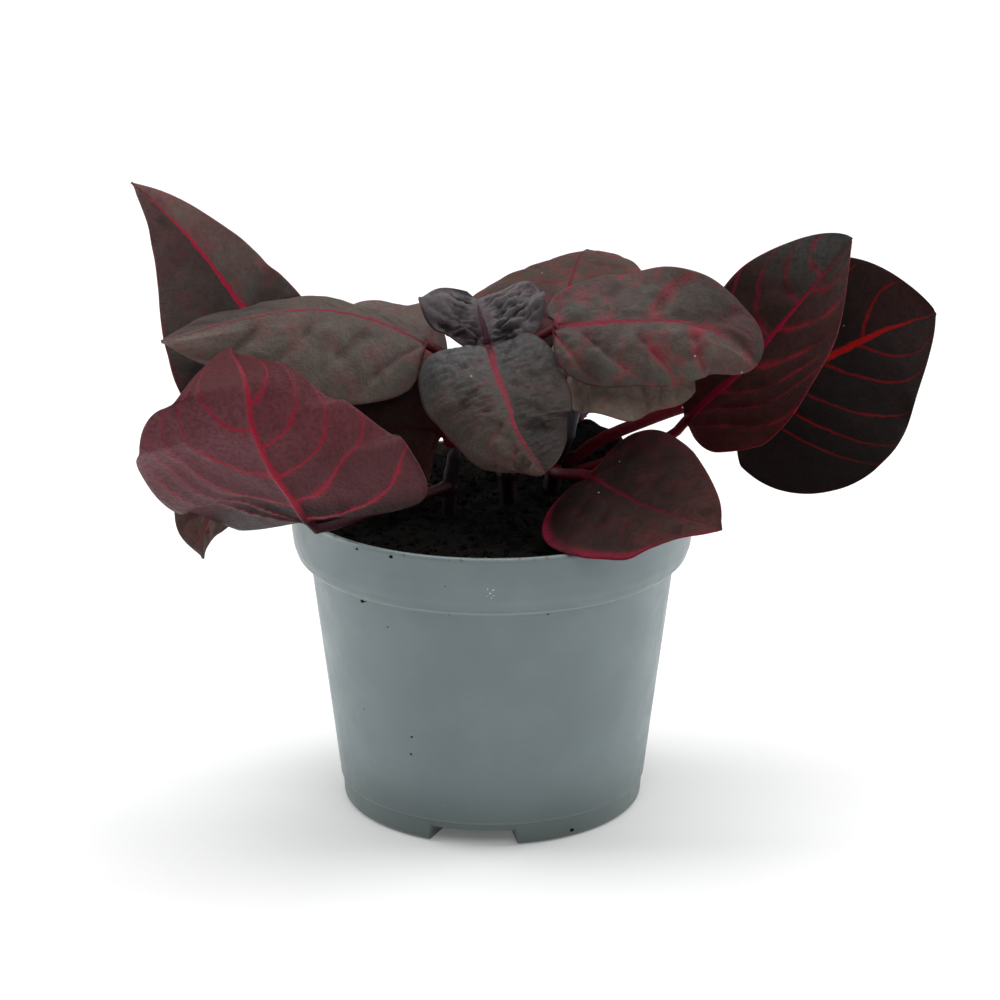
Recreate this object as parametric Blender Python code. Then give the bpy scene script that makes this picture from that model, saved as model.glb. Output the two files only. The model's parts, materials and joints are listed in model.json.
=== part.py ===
"""Bloodleaf plant in its plastic nursery pot.

Metres, +Z up. The pot stands on z = 0 with its axis on the Z axis, and the side that faces -Y is the front.
Every leaf is one closed loft: rings across the stalk swell into rings across the blade.
"""

import math

import bpy
import numpy as np

# Driving dimensions of the pot
RIM_RADIUS = 0.0525
POT_HEIGHT = 0.082
COLLAR_HEIGHT = 0.017
BODY_TOP_RADIUS = 0.0475
BASE_RADIUS = 0.0395
WALL = 0.0013
FOOT_HEIGHT = 0.006
CHANNEL_COUNT = 3
CHANNEL_RISE = 0.0037
CHANNEL_HALF_ANGLE = math.radians(16)
CHANNEL_INNER_RADIUS = 0.014
FRONT_CHANNEL_ANGLE = math.radians(-97.5)
DRAIN_RADIUS = 0.004
DRAIN_DISTANCE = 0.027

# Soil, stems and leaves
GAP = 0.0003
SEAT_GAP = 0.0006
SOIL_FRONT_Z = 0.0785
SOIL_MOUND_RISE = 0.0115
SOIL_MOUND_CENTRE = (0.026, 0.042)
SOIL_MOUND_SPREAD = 0.020
STEM_SIDES = 10
LEAF_THICKNESS = 0.0007
BLADE_ROWS = 12
STALK_ROWS = 3
# Places across one half of a leaf, from the midrib to the margin
HALF_COLUMNS = (0, 0.12, 0.42, 0.74, 1)

# Each stem: points of its axis from root to shoot tip, and its radius at each point
STEMS = {
    "stem_centre": [
        (0.005, 0.004, 0.058, 0.0022),
        (0.004, 0.003, 0.085, 0.0024),
        (0.002, 0.002, 0.100, 0.0020),
        (0.000, 0.000, 0.112, 0.0018),
        (-0.001, -0.001, 0.118, 0.0013),
        (-0.001, -0.001, 0.121, 0.0005),
    ],
    "stem_right": [
        (0.014, 0.013, 0.058, 0.0020),
        (0.016, 0.012, 0.083, 0.0023),
        (0.019, 0.010, 0.094, 0.0021),
        (0.022, 0.010, 0.105, 0.0019),
        (0.024, 0.011, 0.113, 0.0012),
        (0.024, 0.011, 0.116, 0.0005),
    ],
    "stem_left": [
        (-0.011, -0.006, 0.060, 0.0018),
        (-0.011, -0.006, 0.084, 0.0020),
        (-0.010, -0.006, 0.093, 0.0017),
        (-0.009, -0.006, 0.098, 0.0011),
        (-0.009, -0.006, 0.101, 0.0005),
    ],
}

# Each leaf: the stem and the height that its stalk leaves it at, the stalk's other points, the midrib's
# points from the blade's base to its tip, the way the upper face looks at base and tip, and the half
# widths seen from above with the tip ahead (left, right). fold tilts the halves up at the midrib, and curl
# turns them further out to the margin (in degrees). lobe draws the blade's base back along the stalk, and
# base and tip set how round and how pointed it is.
LEAVES = {
    "leaf_far_left": dict(
        stem="stem_centre", seat=0.098, stalk=[(-0.014, 0.010, 0.096)],
        midrib=[(-0.030, 0.010, 0.094), (-0.043, 0.011, 0.104), (-0.055, 0.013, 0.116),
                (-0.066, 0.016, 0.130), (-0.075, 0.018, 0.142), (-0.084, 0.020, 0.152),
                (-0.094, 0.024, 0.160)],
        face=[(-0.3, -1, 0.6), (-0.2, -1, 0.3)], width=(0.030, 0.016), fold=(10, 20), curl=(20, 0),
        tip=(1.22, 0.95),
    ),
    "leaf_left": dict(
        stem="stem_centre", seat=0.113, stalk=[(-0.009, -0.002, 0.118)],
        midrib=[(-0.017, -0.004, 0.124), (-0.030, -0.007, 0.131), (-0.045, -0.012, 0.135),
                (-0.062, -0.017, 0.134), (-0.083, -0.021, 0.129)],
        face=[(0, -0.7, 1), (0, -0.8, 0.8)], width=(0.0235, 0.0132), fold=(-8, -22), curl=(-25, -35),
        base=(0.36, 0.25), tip=(0.8, 0.55), lobe=(0.003, 0.001),
    ),
    "leaf_front_left": dict(
        stem="stem_left", seat=0.087, stalk=[(-0.024, -0.026, 0.088), (-0.0425, -0.0435, 0.0872)],
        midrib=[(-0.0455, -0.047, 0.0905), (-0.0495, -0.051, 0.0985), (-0.054, -0.0535, 0.1065),
                (-0.058, -0.056, 0.118), (-0.060, -0.051, 0.128), (-0.064, -0.0365, 0.130),
                (-0.065, -0.0285, 0.1295)],
        face=[(0.3, 0.7, 0.6), (-0.2, 0.3, -1)], width=(0.040, 0.043), fold=(-6, 8), curl=(9, 12),
        base=(0.3, 0.31), tip=(1.87, 1.38), lobe=(-0.004, 0.018),
    ),
    "leaf_low_left": dict(
        stem="stem_left", seat=0.085, stalk=[(-0.026, -0.006, 0.090)],
        midrib=[(-0.041, -0.006, 0.092), (-0.056, -0.008, 0.092), (-0.068, -0.011, 0.086),
                (-0.0735, -0.014, 0.078), (-0.0745, -0.016, 0.070)],
        face=[(0, -0.3, 1), (-0.5, -0.85, 0.1)], width=(0.013, 0.019), fold=(10, 10), tip=(1.1, 0.9),
    ),
    "leaf_front_centre": dict(
        stem="stem_centre", seat=0.118, stalk=[],
        midrib=[(-0.001, -0.005, 0.123), (0.001, -0.013, 0.119), (0.004, -0.022, 0.113),
                (0.006, -0.028, 0.108), (0.010, -0.033, 0.103), (0.013, -0.036, 0.099)],
        face=[(0, -0.3, 1), (0, -1, 0.4)], width=(0.017, 0.021), fold=(10, 25), fold_tip=(-5, -30),
        curl=(-20, -55), base=(0.3, 0.24), tip=(0.5, 0.7), lobe=(0.006, 0.002), stalk_radius=0.0010,
    ),
    "leaf_crown": dict(
        stem="stem_centre", seat=0.1175, stalk=[],
        midrib=[(-0.001, 0.0022, 0.1200), (-0.0015, 0.0040, 0.1235), (-0.003, 0.009, 0.1275),
                (-0.004, 0.016, 0.1305)],
        face=[(0, -0.6, 0.8), (0, -0.6, 0.8)], width=(0.0175, 0.018), fold=(27, 22), base=(0.6, 0.4),
        tip=(0.4, 0.4), stalk_radius=0.0008, wave=0.0015,
    ),
    "leaf_right": dict(
        stem="stem_centre", seat=0.114, stalk=[(0.009, 0.002, 0.121)],
        midrib=[(0.016, -0.004, 0.128), (0.027, -0.006, 0.130), (0.038, -0.008, 0.131),
                (0.049, -0.010, 0.131), (0.060, -0.013, 0.1275), (0.067, -0.016, 0.1215)],
        face=[(0, -0.6, 1), (0.2, -0.7, 0.8)], width=(0.0165, 0.018), fold=(5, -10), curl=(0, -30),
        base=(0.5, 0.32), tip=(0.65, 0.5), lobe=(0.005, 0.002), wave=0.0008,
    ),
    "leaf_under_right": dict(
        stem="stem_right", seat=0.106, stalk=[],
        midrib=[(0.019, 0.003, 0.113), (0.025, 0.002, 0.117), (0.034, -0.001, 0.1175),
                (0.044, -0.003, 0.115), (0.052, -0.007, 0.112)],
        face=[(0, -0.6, 1), (0, -0.8, 0.8)], width=(0.014, 0.0168), curl=(0, -8), base=(0.4, 0.3),
        tip=(0.8, 0.5), lobe=(0.002, 0.004),
    ),
    "leaf_back_right": dict(
        stem="stem_right", seat=0.111, stalk=[(0.019, 0.017, 0.116)],
        midrib=[(0.018, 0.020, 0.121), (0.019, 0.024, 0.127), (0.021, 0.032, 0.132),
                (0.024, 0.044, 0.136), (0.027, 0.056, 0.134)],
        face=[(0, -1, 0.5), (0, 0.2, 1)], width=(0.030, 0.024), fold=(-12, -5), curl=(-27, -20),
        base=(0.35, 0.5), tip=(0.7, 0.7), lobe=(0.006, 0),
    ),
    "leaf_far_right": dict(
        stem="stem_right", seat=0.085, stalk=[(0.034, 0.002, 0.092), (0.046, 0.000, 0.098)],
        midrib=[(0.050, 0.000, 0.102), (0.058, 0.002, 0.109), (0.066, 0.003, 0.116),
                (0.075, 0.005, 0.127), (0.085, 0.009, 0.138), (0.093, 0.012, 0.148)],
        face=[(-0.6, -1, 0.5), (-0.3, -1, 0.4)], width=(0.0175, 0.025), fold=(15, 25), base=(0.8, 0.35),
        tip=(0.68, 1.0), lobe=(0, 0.003),
    ),
    "leaf_dark_right": dict(
        stem="stem_right", seat=0.088,
        stalk=[(0.028, 0.013, 0.093), (0.039, 0.016, 0.097), (0.052, 0.022, 0.100)],
        midrib=[(0.066, 0.027, 0.102), (0.078, 0.029, 0.106), (0.090, 0.031, 0.111),
                (0.104, 0.034, 0.117), (0.119, 0.038, 0.121)],
        face=[(-0.2, -1, 0.3), (0, -1, 0.3)], width=(0.0285, 0.034), fold=(5, 5), curl=(10, 10),
        base=(0.6, 0.40), tip=(0.84, 0.86), lobe=(0, 0.010), stalk_radius=0.0016,
    ),
    "leaf_front_right": dict(
        stem="stem_right", seat=0.086, stalk=[(0.018, -0.007, 0.090)],
        midrib=[(0.025, -0.019, 0.093), (0.031, -0.028, 0.092), (0.038, -0.037, 0.091),
                (0.046, -0.046, 0.091), (0.056, -0.056, 0.091)],
        face=[(-0.4, -0.35, 0.85), (-0.4, -0.35, 0.85)], width=(0.0205, 0.0245), fold=(7, 9),
        base=(0.3, 0.5), tip=(0.75, 1.0), stalk_radius=0.0014,
    ),
    "leaf_shaded": dict(
        stem="stem_left", seat=0.098, stalk=[],
        midrib=[(-0.013, -0.007, 0.101), (-0.020, -0.010, 0.103), (-0.030, -0.013, 0.104),
                (-0.038, -0.016, 0.103)],
        face=[(0.2, -1, 0.3), (0.1, -1, 0.3)], width=(0.017, 0.014), fold=(5, 5), base=(0.4, 0.4),
        tip=(0.6, 0.6), lobe=(0, 0.004), stalk_radius=0.0008,
    ),
    "leaf_back_left": dict(
        stem="stem_centre", seat=0.105, stalk=[(-0.006, 0.008, 0.108)],
        midrib=[(-0.011, 0.013, 0.112), (-0.020, 0.021, 0.1180), (-0.030, 0.031, 0.1206),
                (-0.040, 0.043, 0.1192), (-0.046, 0.050, 0.1155)],
        face=[(-0.1, -0.2, 1), (-0.4, 0.4, 1)], width=(0.016, 0.014), fold=(5, 5), base=(0.4, 1.1),
    ),
    "leaf_low_back_right": dict(
        stem="stem_right", seat=0.100, stalk=[(0.028, 0.018, 0.104)],
        midrib=[(0.034, 0.024, 0.107), (0.042, 0.034, 0.110), (0.051, 0.046, 0.110),
                (0.059, 0.058, 0.105)],
        face=[(0, 0, 1), (0.4, 0.4, 1)], width=(0.013, 0.017), fold=(10, 10),
    ),
    "leaf_low_back": dict(
        stem="stem_centre", seat=0.094, stalk=[(0.005, 0.011, 0.100)],
        midrib=[(0.008, 0.016, 0.105), (0.012, 0.028, 0.113), (0.014, 0.042, 0.114),
                (0.015, 0.056, 0.107)],
        face=[(0, 0, 1), (0, 0.6, 1)], width=(0.015, 0.014), fold=(8, 8),
    ),
}


def clear_scene():
    for old in list(bpy.data.objects):
        bpy.data.objects.remove(old, do_unlink=True)


def plain_material(name, colour, roughness):
    material = bpy.data.materials.new(name)
    material.use_nodes = True
    shader = material.node_tree.nodes["Principled BSDF"]
    shader.inputs["Base Color"].default_value = (*colour, 1)
    shader.inputs["Roughness"].default_value = roughness
    shader.inputs["Metallic"].default_value = 0
    return material


def add_piece(name, points, faces, material, sharp_degrees=40):
    mesh = bpy.data.meshes.new(name)
    mesh.from_pydata([tuple(p) for p in points], [], [tuple(int(i) for i in f) for f in faces])
    mesh.materials.append(material)
    mesh.shade_smooth()
    mesh.set_sharp_from_angle(angle=math.radians(sharp_degrees))
    piece = bpy.data.objects.new(name, mesh)
    bpy.context.scene.collection.objects.link(piece)
    return piece


def cut(piece, cutter):
    """Takes the cutter's shape out of the piece."""
    cutter.hide_render = True
    cutter.display_type = "WIRE"
    boolean = piece.modifiers.new("cut_" + cutter.name, "BOOLEAN")
    boolean.operation = "DIFFERENCE"
    boolean.solver = "EXACT"
    boolean.object = cutter


def unit(vectors):
    return vectors / np.linalg.norm(vectors, axis=-1, keepdims=True)


def smooth_path(points, samples_per_span=24):
    """Catmull-Rom curve through the points: its samples, their lengths along it, and each point's length."""
    given = np.asarray(points, float)
    given = np.vstack([2 * given[0] - given[1], given, 2 * given[-1] - given[-2]])
    t = np.linspace(0, 1, samples_per_span, endpoint=False)[:, None]
    spans = [
        0.5 * (2 * b + (c - a) * t + (2 * a - 5 * b + 4 * c - d) * t**2 + (3 * b - a - 3 * c + d) * t**3)
        for a, b, c, d in zip(given[:-3], given[1:-2], given[2:-1], given[3:])
    ]
    curve = np.vstack([*spans, given[-2:-1]])
    steps = np.linalg.norm(np.diff(curve[:, :3], axis=0), axis=1)
    length = np.append(0, np.cumsum(steps))
    return curve, length, length[::samples_per_span]


def read_curve(places, length, curve):
    return np.stack([np.interp(places, length, column) for column in curve.T], axis=1)


def ring_faces(rows, sides, closed=True):
    """Quads between one ring of points and the next, each ring in the order of the last."""
    row, side = np.meshgrid(np.arange(rows - 1), np.arange(sides if closed else sides - 1), indexing="ij")
    here = row * sides + side
    there = row * sides + (side + 1) % sides
    return np.stack([here, there, there + sides, here + sides], axis=-1).reshape(-1, 4)


def round_angles(channel_half_angle):
    """Angles round the pot and whether each is over a channel.

    Pairs a degree apart mark the channels' sides.
    """
    pitch = 2 * math.pi / CHANNEL_COUNT
    over = np.linspace(-channel_half_angle, channel_half_angle, 5)
    edge = channel_half_angle + math.radians(1)
    beside = np.linspace(edge, pitch - edge, 11)
    one_pitch = np.concatenate([over, beside])
    angles = np.concatenate([FRONT_CHANNEL_ANGLE + k * pitch + one_pitch for k in range(CHANNEL_COUNT)])
    return angles, np.tile(one_pitch < edge - 1e-6, CHANNEL_COUNT)


def body_radius(z):
    """Radius of the pot's outer wall between the foot and the collar."""
    return BASE_RADIUS + (BODY_TOP_RADIUS - BASE_RADIUS) * z / (POT_HEIGHT - COLLAR_HEIGHT)


def pot_profile():
    """Radius, height and share of the channels' rise, from under the base, up outside and down inside."""
    crease = POT_HEIGHT - COLLAR_HEIGHT
    inner_crease = crease + 0.0005
    step = 0.0004
    under = [(CHANNEL_INNER_RADIUS - 0.002, 0, 0), (CHANNEL_INNER_RADIUS, 0, 1),
             (BASE_RADIUS - 0.0008, 0, 1)]
    foot = [(BASE_RADIUS, 0.0008, 1), (body_radius(FOOT_HEIGHT) - step, FOOT_HEIGHT, 0)]
    body = [(body_radius(FOOT_HEIGHT), FOOT_HEIGHT + step, 0), (BODY_TOP_RADIUS, crease, 0)]
    shoulder = [(RIM_RADIUS - drop, crease + rise, 0) for drop, rise in
                ((0.0035, 0.0012), (0.0018, 0.0027), (0.0007, 0.0055), (0.0001, 0.0100))]
    lip = [(RIM_RADIUS, POT_HEIGHT - 0.0006, 0), (RIM_RADIUS - 0.0006, POT_HEIGHT, 0),
           (RIM_RADIUS - WALL - 0.0004, POT_HEIGHT, 0)]
    inside = [(RIM_RADIUS - WALL - 0.0008, crease + 0.0070, 0),
              (RIM_RADIUS - WALL - 0.0026, crease + 0.0034, 0),
              (BODY_TOP_RADIUS - WALL, inner_crease, 0),
              (body_radius(FOOT_HEIGHT) - WALL - step, FOOT_HEIGHT, 0)]
    floor = [(BASE_RADIUS - WALL - 0.0004, WALL, 1), (CHANNEL_INNER_RADIUS, WALL, 1),
             (CHANNEL_INNER_RADIUS - 0.002, WALL, 0)]
    return under + foot + body + shoulder + lip + inside + floor


def profile_rings(profile, channel_half_angle):
    """One ring of points for each radius, height and share of the rise, raised by it over the channels."""
    angles, over_channel = round_angles(channel_half_angle)
    lift = CHANNEL_RISE * over_channel
    return np.array([
        np.stack([radius * np.cos(angles), radius * np.sin(angles), z + share * lift], axis=1)
        for radius, z, share in profile
    ])


def closed_rings(rings, first_centre, last_centre):
    """Points and faces of a body through rings in order, closed by fans to a point at each end."""
    rows, sides = rings.shape[:2]
    points = np.vstack([rings.reshape(-1, 3), first_centre, last_centre])
    faces = ring_faces(rows, sides).tolist()
    last = (rows - 1) * sides
    for side in range(sides):
        after = (side + 1) % sides
        faces.append((rows * sides, after, side))
        faces.append((rows * sides + 1, last + side, last + after))
    return points, faces


def make_pot():
    material = plain_material("pot_plastic", (0.165, 0.205, 0.210), 0.45)
    rings = profile_rings(pot_profile(), CHANNEL_HALF_ANGLE)
    pot = add_piece("pot", *closed_rings(rings, (0, 0, 0), (0, 0, WALL)), material, 30)
    for k in range(CHANNEL_COUNT):
        angle = FRONT_CHANNEL_ANGLE + k * 2 * math.pi / CHANNEL_COUNT
        bpy.ops.mesh.primitive_cylinder_add(
            vertices=16, radius=DRAIN_RADIUS, depth=0.012,
            location=(DRAIN_DISTANCE * math.cos(angle), DRAIN_DISTANCE * math.sin(angle), CHANNEL_RISE),
        )
        drill = bpy.context.active_object
        drill.name = f"drain_drill_{k}"
        cut(pot, drill)
    return pot


def soil_height(x, y):
    """Nearly level with the rim in front, with crumbly swells, and heaped over it at the back right."""
    away = np.hypot(x - SOIL_MOUND_CENTRE[0], y - SOIL_MOUND_CENTRE[1])
    heap = SOIL_MOUND_RISE * np.exp(-((away / SOIL_MOUND_SPREAD) ** 2))
    swell = 0.0006 * np.sin(310 * x + 1) * np.sin(270 * y) + 0.0004 * np.sin(520 * x - 430 * y)
    return SOIL_FRONT_Z + heap + swell


def make_soil():
    """The root ball fills the pot's inside a gap away, over the raised channels, and has a heaped top."""
    material = plain_material("potting_soil", (0.012, 0.010, 0.008), 0.95)
    half_angle = CHANNEL_HALF_ANGLE + math.radians(2)
    crease = POT_HEIGHT - COLLAR_HEIGHT
    wall = WALL + GAP
    collar = RIM_RADIUS - wall - 0.0009
    bottom = [(CHANNEL_INNER_RADIUS - 0.0025, wall, 0), (CHANNEL_INNER_RADIUS - 0.0005, wall, 1),
              (BASE_RADIUS - wall - 0.0004, wall, 1)]
    side = [(body_radius(FOOT_HEIGHT) - wall - 0.0005, FOOT_HEIGHT + 0.001, 0),
            (BODY_TOP_RADIUS - wall - 0.0002, crease + 0.0010, 0), (collar - 0.0022, crease + 0.0045, 0),
            (collar, crease + 0.0085, 0)]
    angles, _ = round_angles(half_angle)
    radius = collar * np.array([1, 0.97, 0.85, 0.70, 0.54, 0.38, 0.22])[:, None]
    x, y = radius * np.cos(angles), radius * np.sin(angles)
    top = np.stack([x, y, np.maximum(soil_height(x, y), crease + 0.0095)], axis=2)
    rings = np.concatenate([profile_rings(bottom + side, half_angle), top])
    soil = add_piece("soil", *closed_rings(rings, (0, 0, wall), (0, 0, soil_height(0, 0))), material, 60)
    for name, rows in STEMS.items():
        cut(soil, stem_hole(name, rows))
    return soil


def tube(rows, sides, widen=0.0):
    """A closed round tube through (x, y, z, radius) rows, with flat ends."""
    curve, length, _ = smooth_path(rows)
    places = np.linspace(0, length[-1], 3 * len(rows) - 2)
    at = read_curve(places, length, curve)
    along = unit(np.gradient(at[:, :3], axis=0))
    across = unit(np.cross(along, (0, 1, 0)))
    beyond = np.cross(along, across)
    angle = np.linspace(0, 2 * math.pi, sides, endpoint=False)[None, :, None]
    radius = (at[:, 3] + widen)[:, None, None]
    round_it = across[:, None] * np.cos(angle) + beyond[:, None] * np.sin(angle)
    points = (at[:, None, :3] + radius * round_it).reshape(-1, 3)
    faces = ring_faces(len(at), sides).tolist()
    last = (len(at) - 1) * sides
    faces.append(tuple(range(sides))[::-1])
    faces.append(tuple(range(last, last + sides)))
    return points, faces


def stem_hole(name, rows):
    """The plain hole that a stem stands in: its shape, a gap wider and four gaps deeper, past the soil."""
    buried = [row for row in rows if row[2] < 0.095]
    deeper = (*rows[0][:2], rows[0][2] - 4 * GAP, rows[0][3])
    points, faces = tube([deeper, *buried], STEM_SIDES, GAP)
    return add_piece("hole_" + name, points, faces, bpy.data.materials["potting_soil"])


def make_stems():
    material = plain_material("stem_skin", (0.055, 0.018, 0.030), 0.5)
    for name, rows in STEMS.items():
        add_piece(name, *tube(rows, STEM_SIDES), material, 50)


def stem_seat(stem, height, toward, stalk_radius):
    """The stalk's first two points: a gap off the stem's skin on the side it heads for, and just on."""
    curve, _, _ = smooth_path(STEMS[stem])
    x, y, radius = (np.interp(height, curve[:, 2], curve[:, k]) for k in (0, 1, 3))
    heading = np.append(unit(np.array([toward[0] - x, toward[1] - y])), 0)
    start = np.array([x, y, height]) + heading * (radius + SEAT_GAP)
    return [start, start + heading * stalk_radius]


def half_section(fold, fold_tip, curl, along, across):
    """Offsets across and up of one half blade that folds and curls, for a half width of 1, and its slope."""
    bend = (np.arange(32) + 0.5) / 32
    start = fold + (fold_tip - fold) * along
    angle = np.radians(start[:, None] + curl * across * bend)
    out = across * np.cos(angle).mean(axis=1)
    up = across * np.sin(angle).mean(axis=1)
    return out, up, np.radians(start + curl * across)


def leaf_points(stem, seat, stalk, midrib, face, width, fold=(0, 0), fold_tip=None, curl=(0, 0),
                base=(0.5, 0.5), tip=(0.95, 0.95), lobe=(0, 0), wave=0.001, stalk_radius=0.0012):
    """Upper and lower points of a leaf: a row for each place along it and a column for each across.

    The half width grows as (share along) ** base and shrinks as (share left) ** tip. The stalk runs on
    under the blade as a midrib that tapers to a quarter of its radius.
    """
    seat_points = stem_seat(stem, seat, (stalk + midrib)[0], stalk_radius)
    curve, length, knots = smooth_path([*seat_points, *stalk, *midrib])
    start = knots[2 + len(stalk)]
    even = np.linspace(0, 1, BLADE_ROWS + 1)
    rows = 0.75 * (0.5 - 0.5 * np.cos(math.pi * even)) + 0.25 * even
    stalk_places = np.linspace(0, start, STALK_ROWS, endpoint=False)
    places = np.append(stalk_places, start + (length[-1] - start) * rows)
    along = np.clip((places - start) / (length[-1] - start), 0, 1)
    middle = read_curve(places, length, curve)
    slope = unit(read_curve(places, length, np.gradient(curve, length, axis=0)))
    looks = np.asarray(face[0]) * (1 - along[:, None]) + np.asarray(face[1]) * along[:, None]
    side = unit(np.cross(slope, looks))
    up = np.cross(side, slope)
    rib = stalk_radius * (1 - 0.75 * along)
    upper, lower = [], []
    for place in [-c for c in HALF_COLUMNS[:0:-1]] + list(HALF_COLUMNS):
        half, across = int(place >= 0), abs(place)
        widest = base[half] / (base[half] + tip[half])
        shape = along ** base[half] * (1 - along) ** tip[half]
        shape /= widest ** base[half] * (1 - widest) ** tip[half]
        half_width = np.maximum(width[half] * shape, rib)
        blade = np.clip(half_width / (3 * rib) - 0.33, 0, 1)
        out, rise, angle = half_section(fold[half], (fold_tip or fold)[half], curl[half], along, across)
        out = half_width * (out * blade + across * (1 - blade))
        ripple = wave * across**2 * np.sin(2 * math.pi * 2.2 * along + 2.3 * half)
        rise = blade * (half_width * rise + ripple)
        back = blade * lobe[half] * across**2 * (1 - along) ** 4
        outward = side * math.copysign(1, place)
        skin = middle + outward * out[:, None] + up * rise[:, None] - slope * back[:, None]
        tilt = (blade * angle)[:, None]
        normal = up * np.cos(tilt) - outward * np.sin(tilt)
        round_under = np.sqrt(np.maximum(rib**2 - (0.93 * half_width * across) ** 2, 0))
        below = np.maximum(LEAF_THICKNESS / 2, round_under)
        above = np.maximum(LEAF_THICKNESS / 2, (1 - blade) * round_under)
        upper.append(skin + normal * above[:, None])
        lower.append(skin - normal * below[:, None])
    return np.stack(upper, axis=1), np.stack(lower, axis=1)


def leaf_faces(rows, columns):
    """Triangles of the closed loft, each cell split along the same diagonal above and below."""
    sides = 2 * columns
    faces = []
    for row in range(rows - 1):
        for place in range(sides):
            a, b = row * sides + place, row * sides + (place + 1) % sides
            c, d = a + sides, b + sides
            above, below = place < columns - 1, columns <= place < sides - 1
            column = place if above else sides - 2 - place
            past_midrib = column >= (columns - 1) // 2
            if (above and past_midrib) or (below and not past_midrib):
                faces += [(a, b, d), (a, d, c)]
            else:
                faces += [(a, b, c), (b, d, c)]
    last = (rows - 1) * sides
    for k in range(columns - 1):
        a, b, c, d = k, k + 1, sides - 2 - k, sides - 1 - k
        faces += [(c, b, a), (d, c, a)]
        faces += [(last + a, last + b, last + c), (last + a, last + c, last + d)]
    return faces


def make_leaves():
    material = plain_material("leaf_skin", (0.060, 0.040, 0.042), 0.42)
    for name, leaf in LEAVES.items():
        upper, lower = leaf_points(**leaf)
        rings = np.concatenate([upper, lower[:, ::-1]], axis=1)
        faces = leaf_faces(*upper.shape[:2])
        add_piece(name, rings.reshape(-1, 3), faces, material, 50)


clear_scene()
make_pot()
make_soil()
make_stems()
make_leaves()
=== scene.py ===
"""Bloodleaf plant in its plastic nursery pot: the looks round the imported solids.

Metres, +Z up. The pot stands on z = 0 with its axis on the Z axis, and the side that faces -Y is the front.
"""

import json
import math

import bpy
import numpy as np
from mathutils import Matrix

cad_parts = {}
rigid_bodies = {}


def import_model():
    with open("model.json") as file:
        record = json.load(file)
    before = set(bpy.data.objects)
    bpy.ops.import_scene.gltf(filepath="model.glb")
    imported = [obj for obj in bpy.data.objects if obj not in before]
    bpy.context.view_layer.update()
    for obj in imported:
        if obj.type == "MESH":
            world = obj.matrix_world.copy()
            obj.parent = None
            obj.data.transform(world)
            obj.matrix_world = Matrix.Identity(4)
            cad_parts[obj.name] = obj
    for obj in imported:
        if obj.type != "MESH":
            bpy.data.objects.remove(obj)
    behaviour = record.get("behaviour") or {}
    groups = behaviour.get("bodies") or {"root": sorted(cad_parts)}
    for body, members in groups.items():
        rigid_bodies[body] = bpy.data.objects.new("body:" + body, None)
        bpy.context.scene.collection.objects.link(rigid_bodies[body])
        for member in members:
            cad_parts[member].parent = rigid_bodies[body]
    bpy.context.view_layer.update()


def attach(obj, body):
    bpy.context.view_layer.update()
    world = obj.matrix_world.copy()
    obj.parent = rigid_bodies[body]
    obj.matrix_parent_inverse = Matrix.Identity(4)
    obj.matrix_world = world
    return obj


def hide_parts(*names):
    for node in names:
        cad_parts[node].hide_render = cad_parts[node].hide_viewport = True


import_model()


# Camera, floor and light
# The camera stands a little above the leaves and looks down on the pot's rim. The floor is one pale sheet.
# Large soft lights hang above and at both sides, a little behind the pot, and a weaker one is in front.

CAMERA_PLACE = (0, -0.840, 0.3484)
CAMERA_TILT_DOWN = 0.3085
CAMERA_TURN_RIGHT = 0.0024
CAMERA_LENS_MM = 121.6

camera_data = bpy.data.cameras.new("camera")
camera_data.sensor_width = 36
camera_data.lens = CAMERA_LENS_MM
camera_data.clip_end = 50
camera = bpy.data.objects.new("camera", camera_data)
camera.location = CAMERA_PLACE
camera.rotation_euler = (math.pi / 2 - CAMERA_TILT_DOWN, 0, -CAMERA_TURN_RIGHT)
bpy.context.scene.collection.objects.link(camera)
bpy.context.scene.camera = camera
bpy.context.scene.view_settings.view_transform = "Standard"

FLOOR_HALF_SIDE = 6.0
FLOOR_DROP = 0.0002


def feed(node, inputs):
    """Sets each of these inputs of the node to its value, or joins it to the socket given for it."""
    for key, value in inputs.items():
        if isinstance(value, bpy.types.NodeSocket):
            node.id_data.links.new(value, node.inputs[key])
        else:
            node.inputs[key].default_value = value


def wire(kind, inputs, tree=None, **options):
    """A shader node with these options and inputs, in the tree given or else where its sockets come from."""
    tree = tree or next(value.id_data for value in inputs.values() if isinstance(value, bpy.types.NodeSocket))
    node = tree.nodes.new(kind)
    for key, value in options.items():
        setattr(node, key, value)
    feed(node, inputs)
    return node


def new_material(name):
    """A material of that name, the shader that its looks go into, and the place on the object in metres."""
    material = bpy.data.materials.new(name)
    material.use_nodes = True
    tree = material.node_tree
    return material, tree.nodes["Principled BSDF"], wire("ShaderNodeTexCoord", {}, tree).outputs["Object"]


floor_paper, shader, spot = new_material("floor_paper")
# The paper glows a little, and more so far behind the plant, so it stays as pale there
deep = wire("ShaderNodeSeparateXYZ", {0: spot}).outputs[1]
rise = {"Value": deep, "From Min": 0.5, "From Max": 1.3, "To Min": 0.10, "To Max": 0.45}
glow = wire("ShaderNodeMapRange", rise)
feed(shader, {"Base Color": (0.86, 0.86, 0.86, 1), "Roughness": 0.8, "Specular IOR Level": 0.1,
              "Emission Color": (1, 1, 1, 1), "Emission Strength": glow.outputs[0]})
floor_mesh = bpy.data.meshes.new("floor")
floor_corners = np.array([(-1, -1), (1, -1), (1, 1), (-1, 1)]) * FLOOR_HALF_SIDE
floor_mesh.from_pydata([(x, y, -FLOOR_DROP) for x, y in floor_corners.tolist()], [], [(0, 1, 2, 3)])
floor_mesh.materials.append(floor_paper)
floor = bpy.data.objects.new("floor", floor_mesh)
bpy.context.scene.collection.objects.link(floor)

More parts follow.
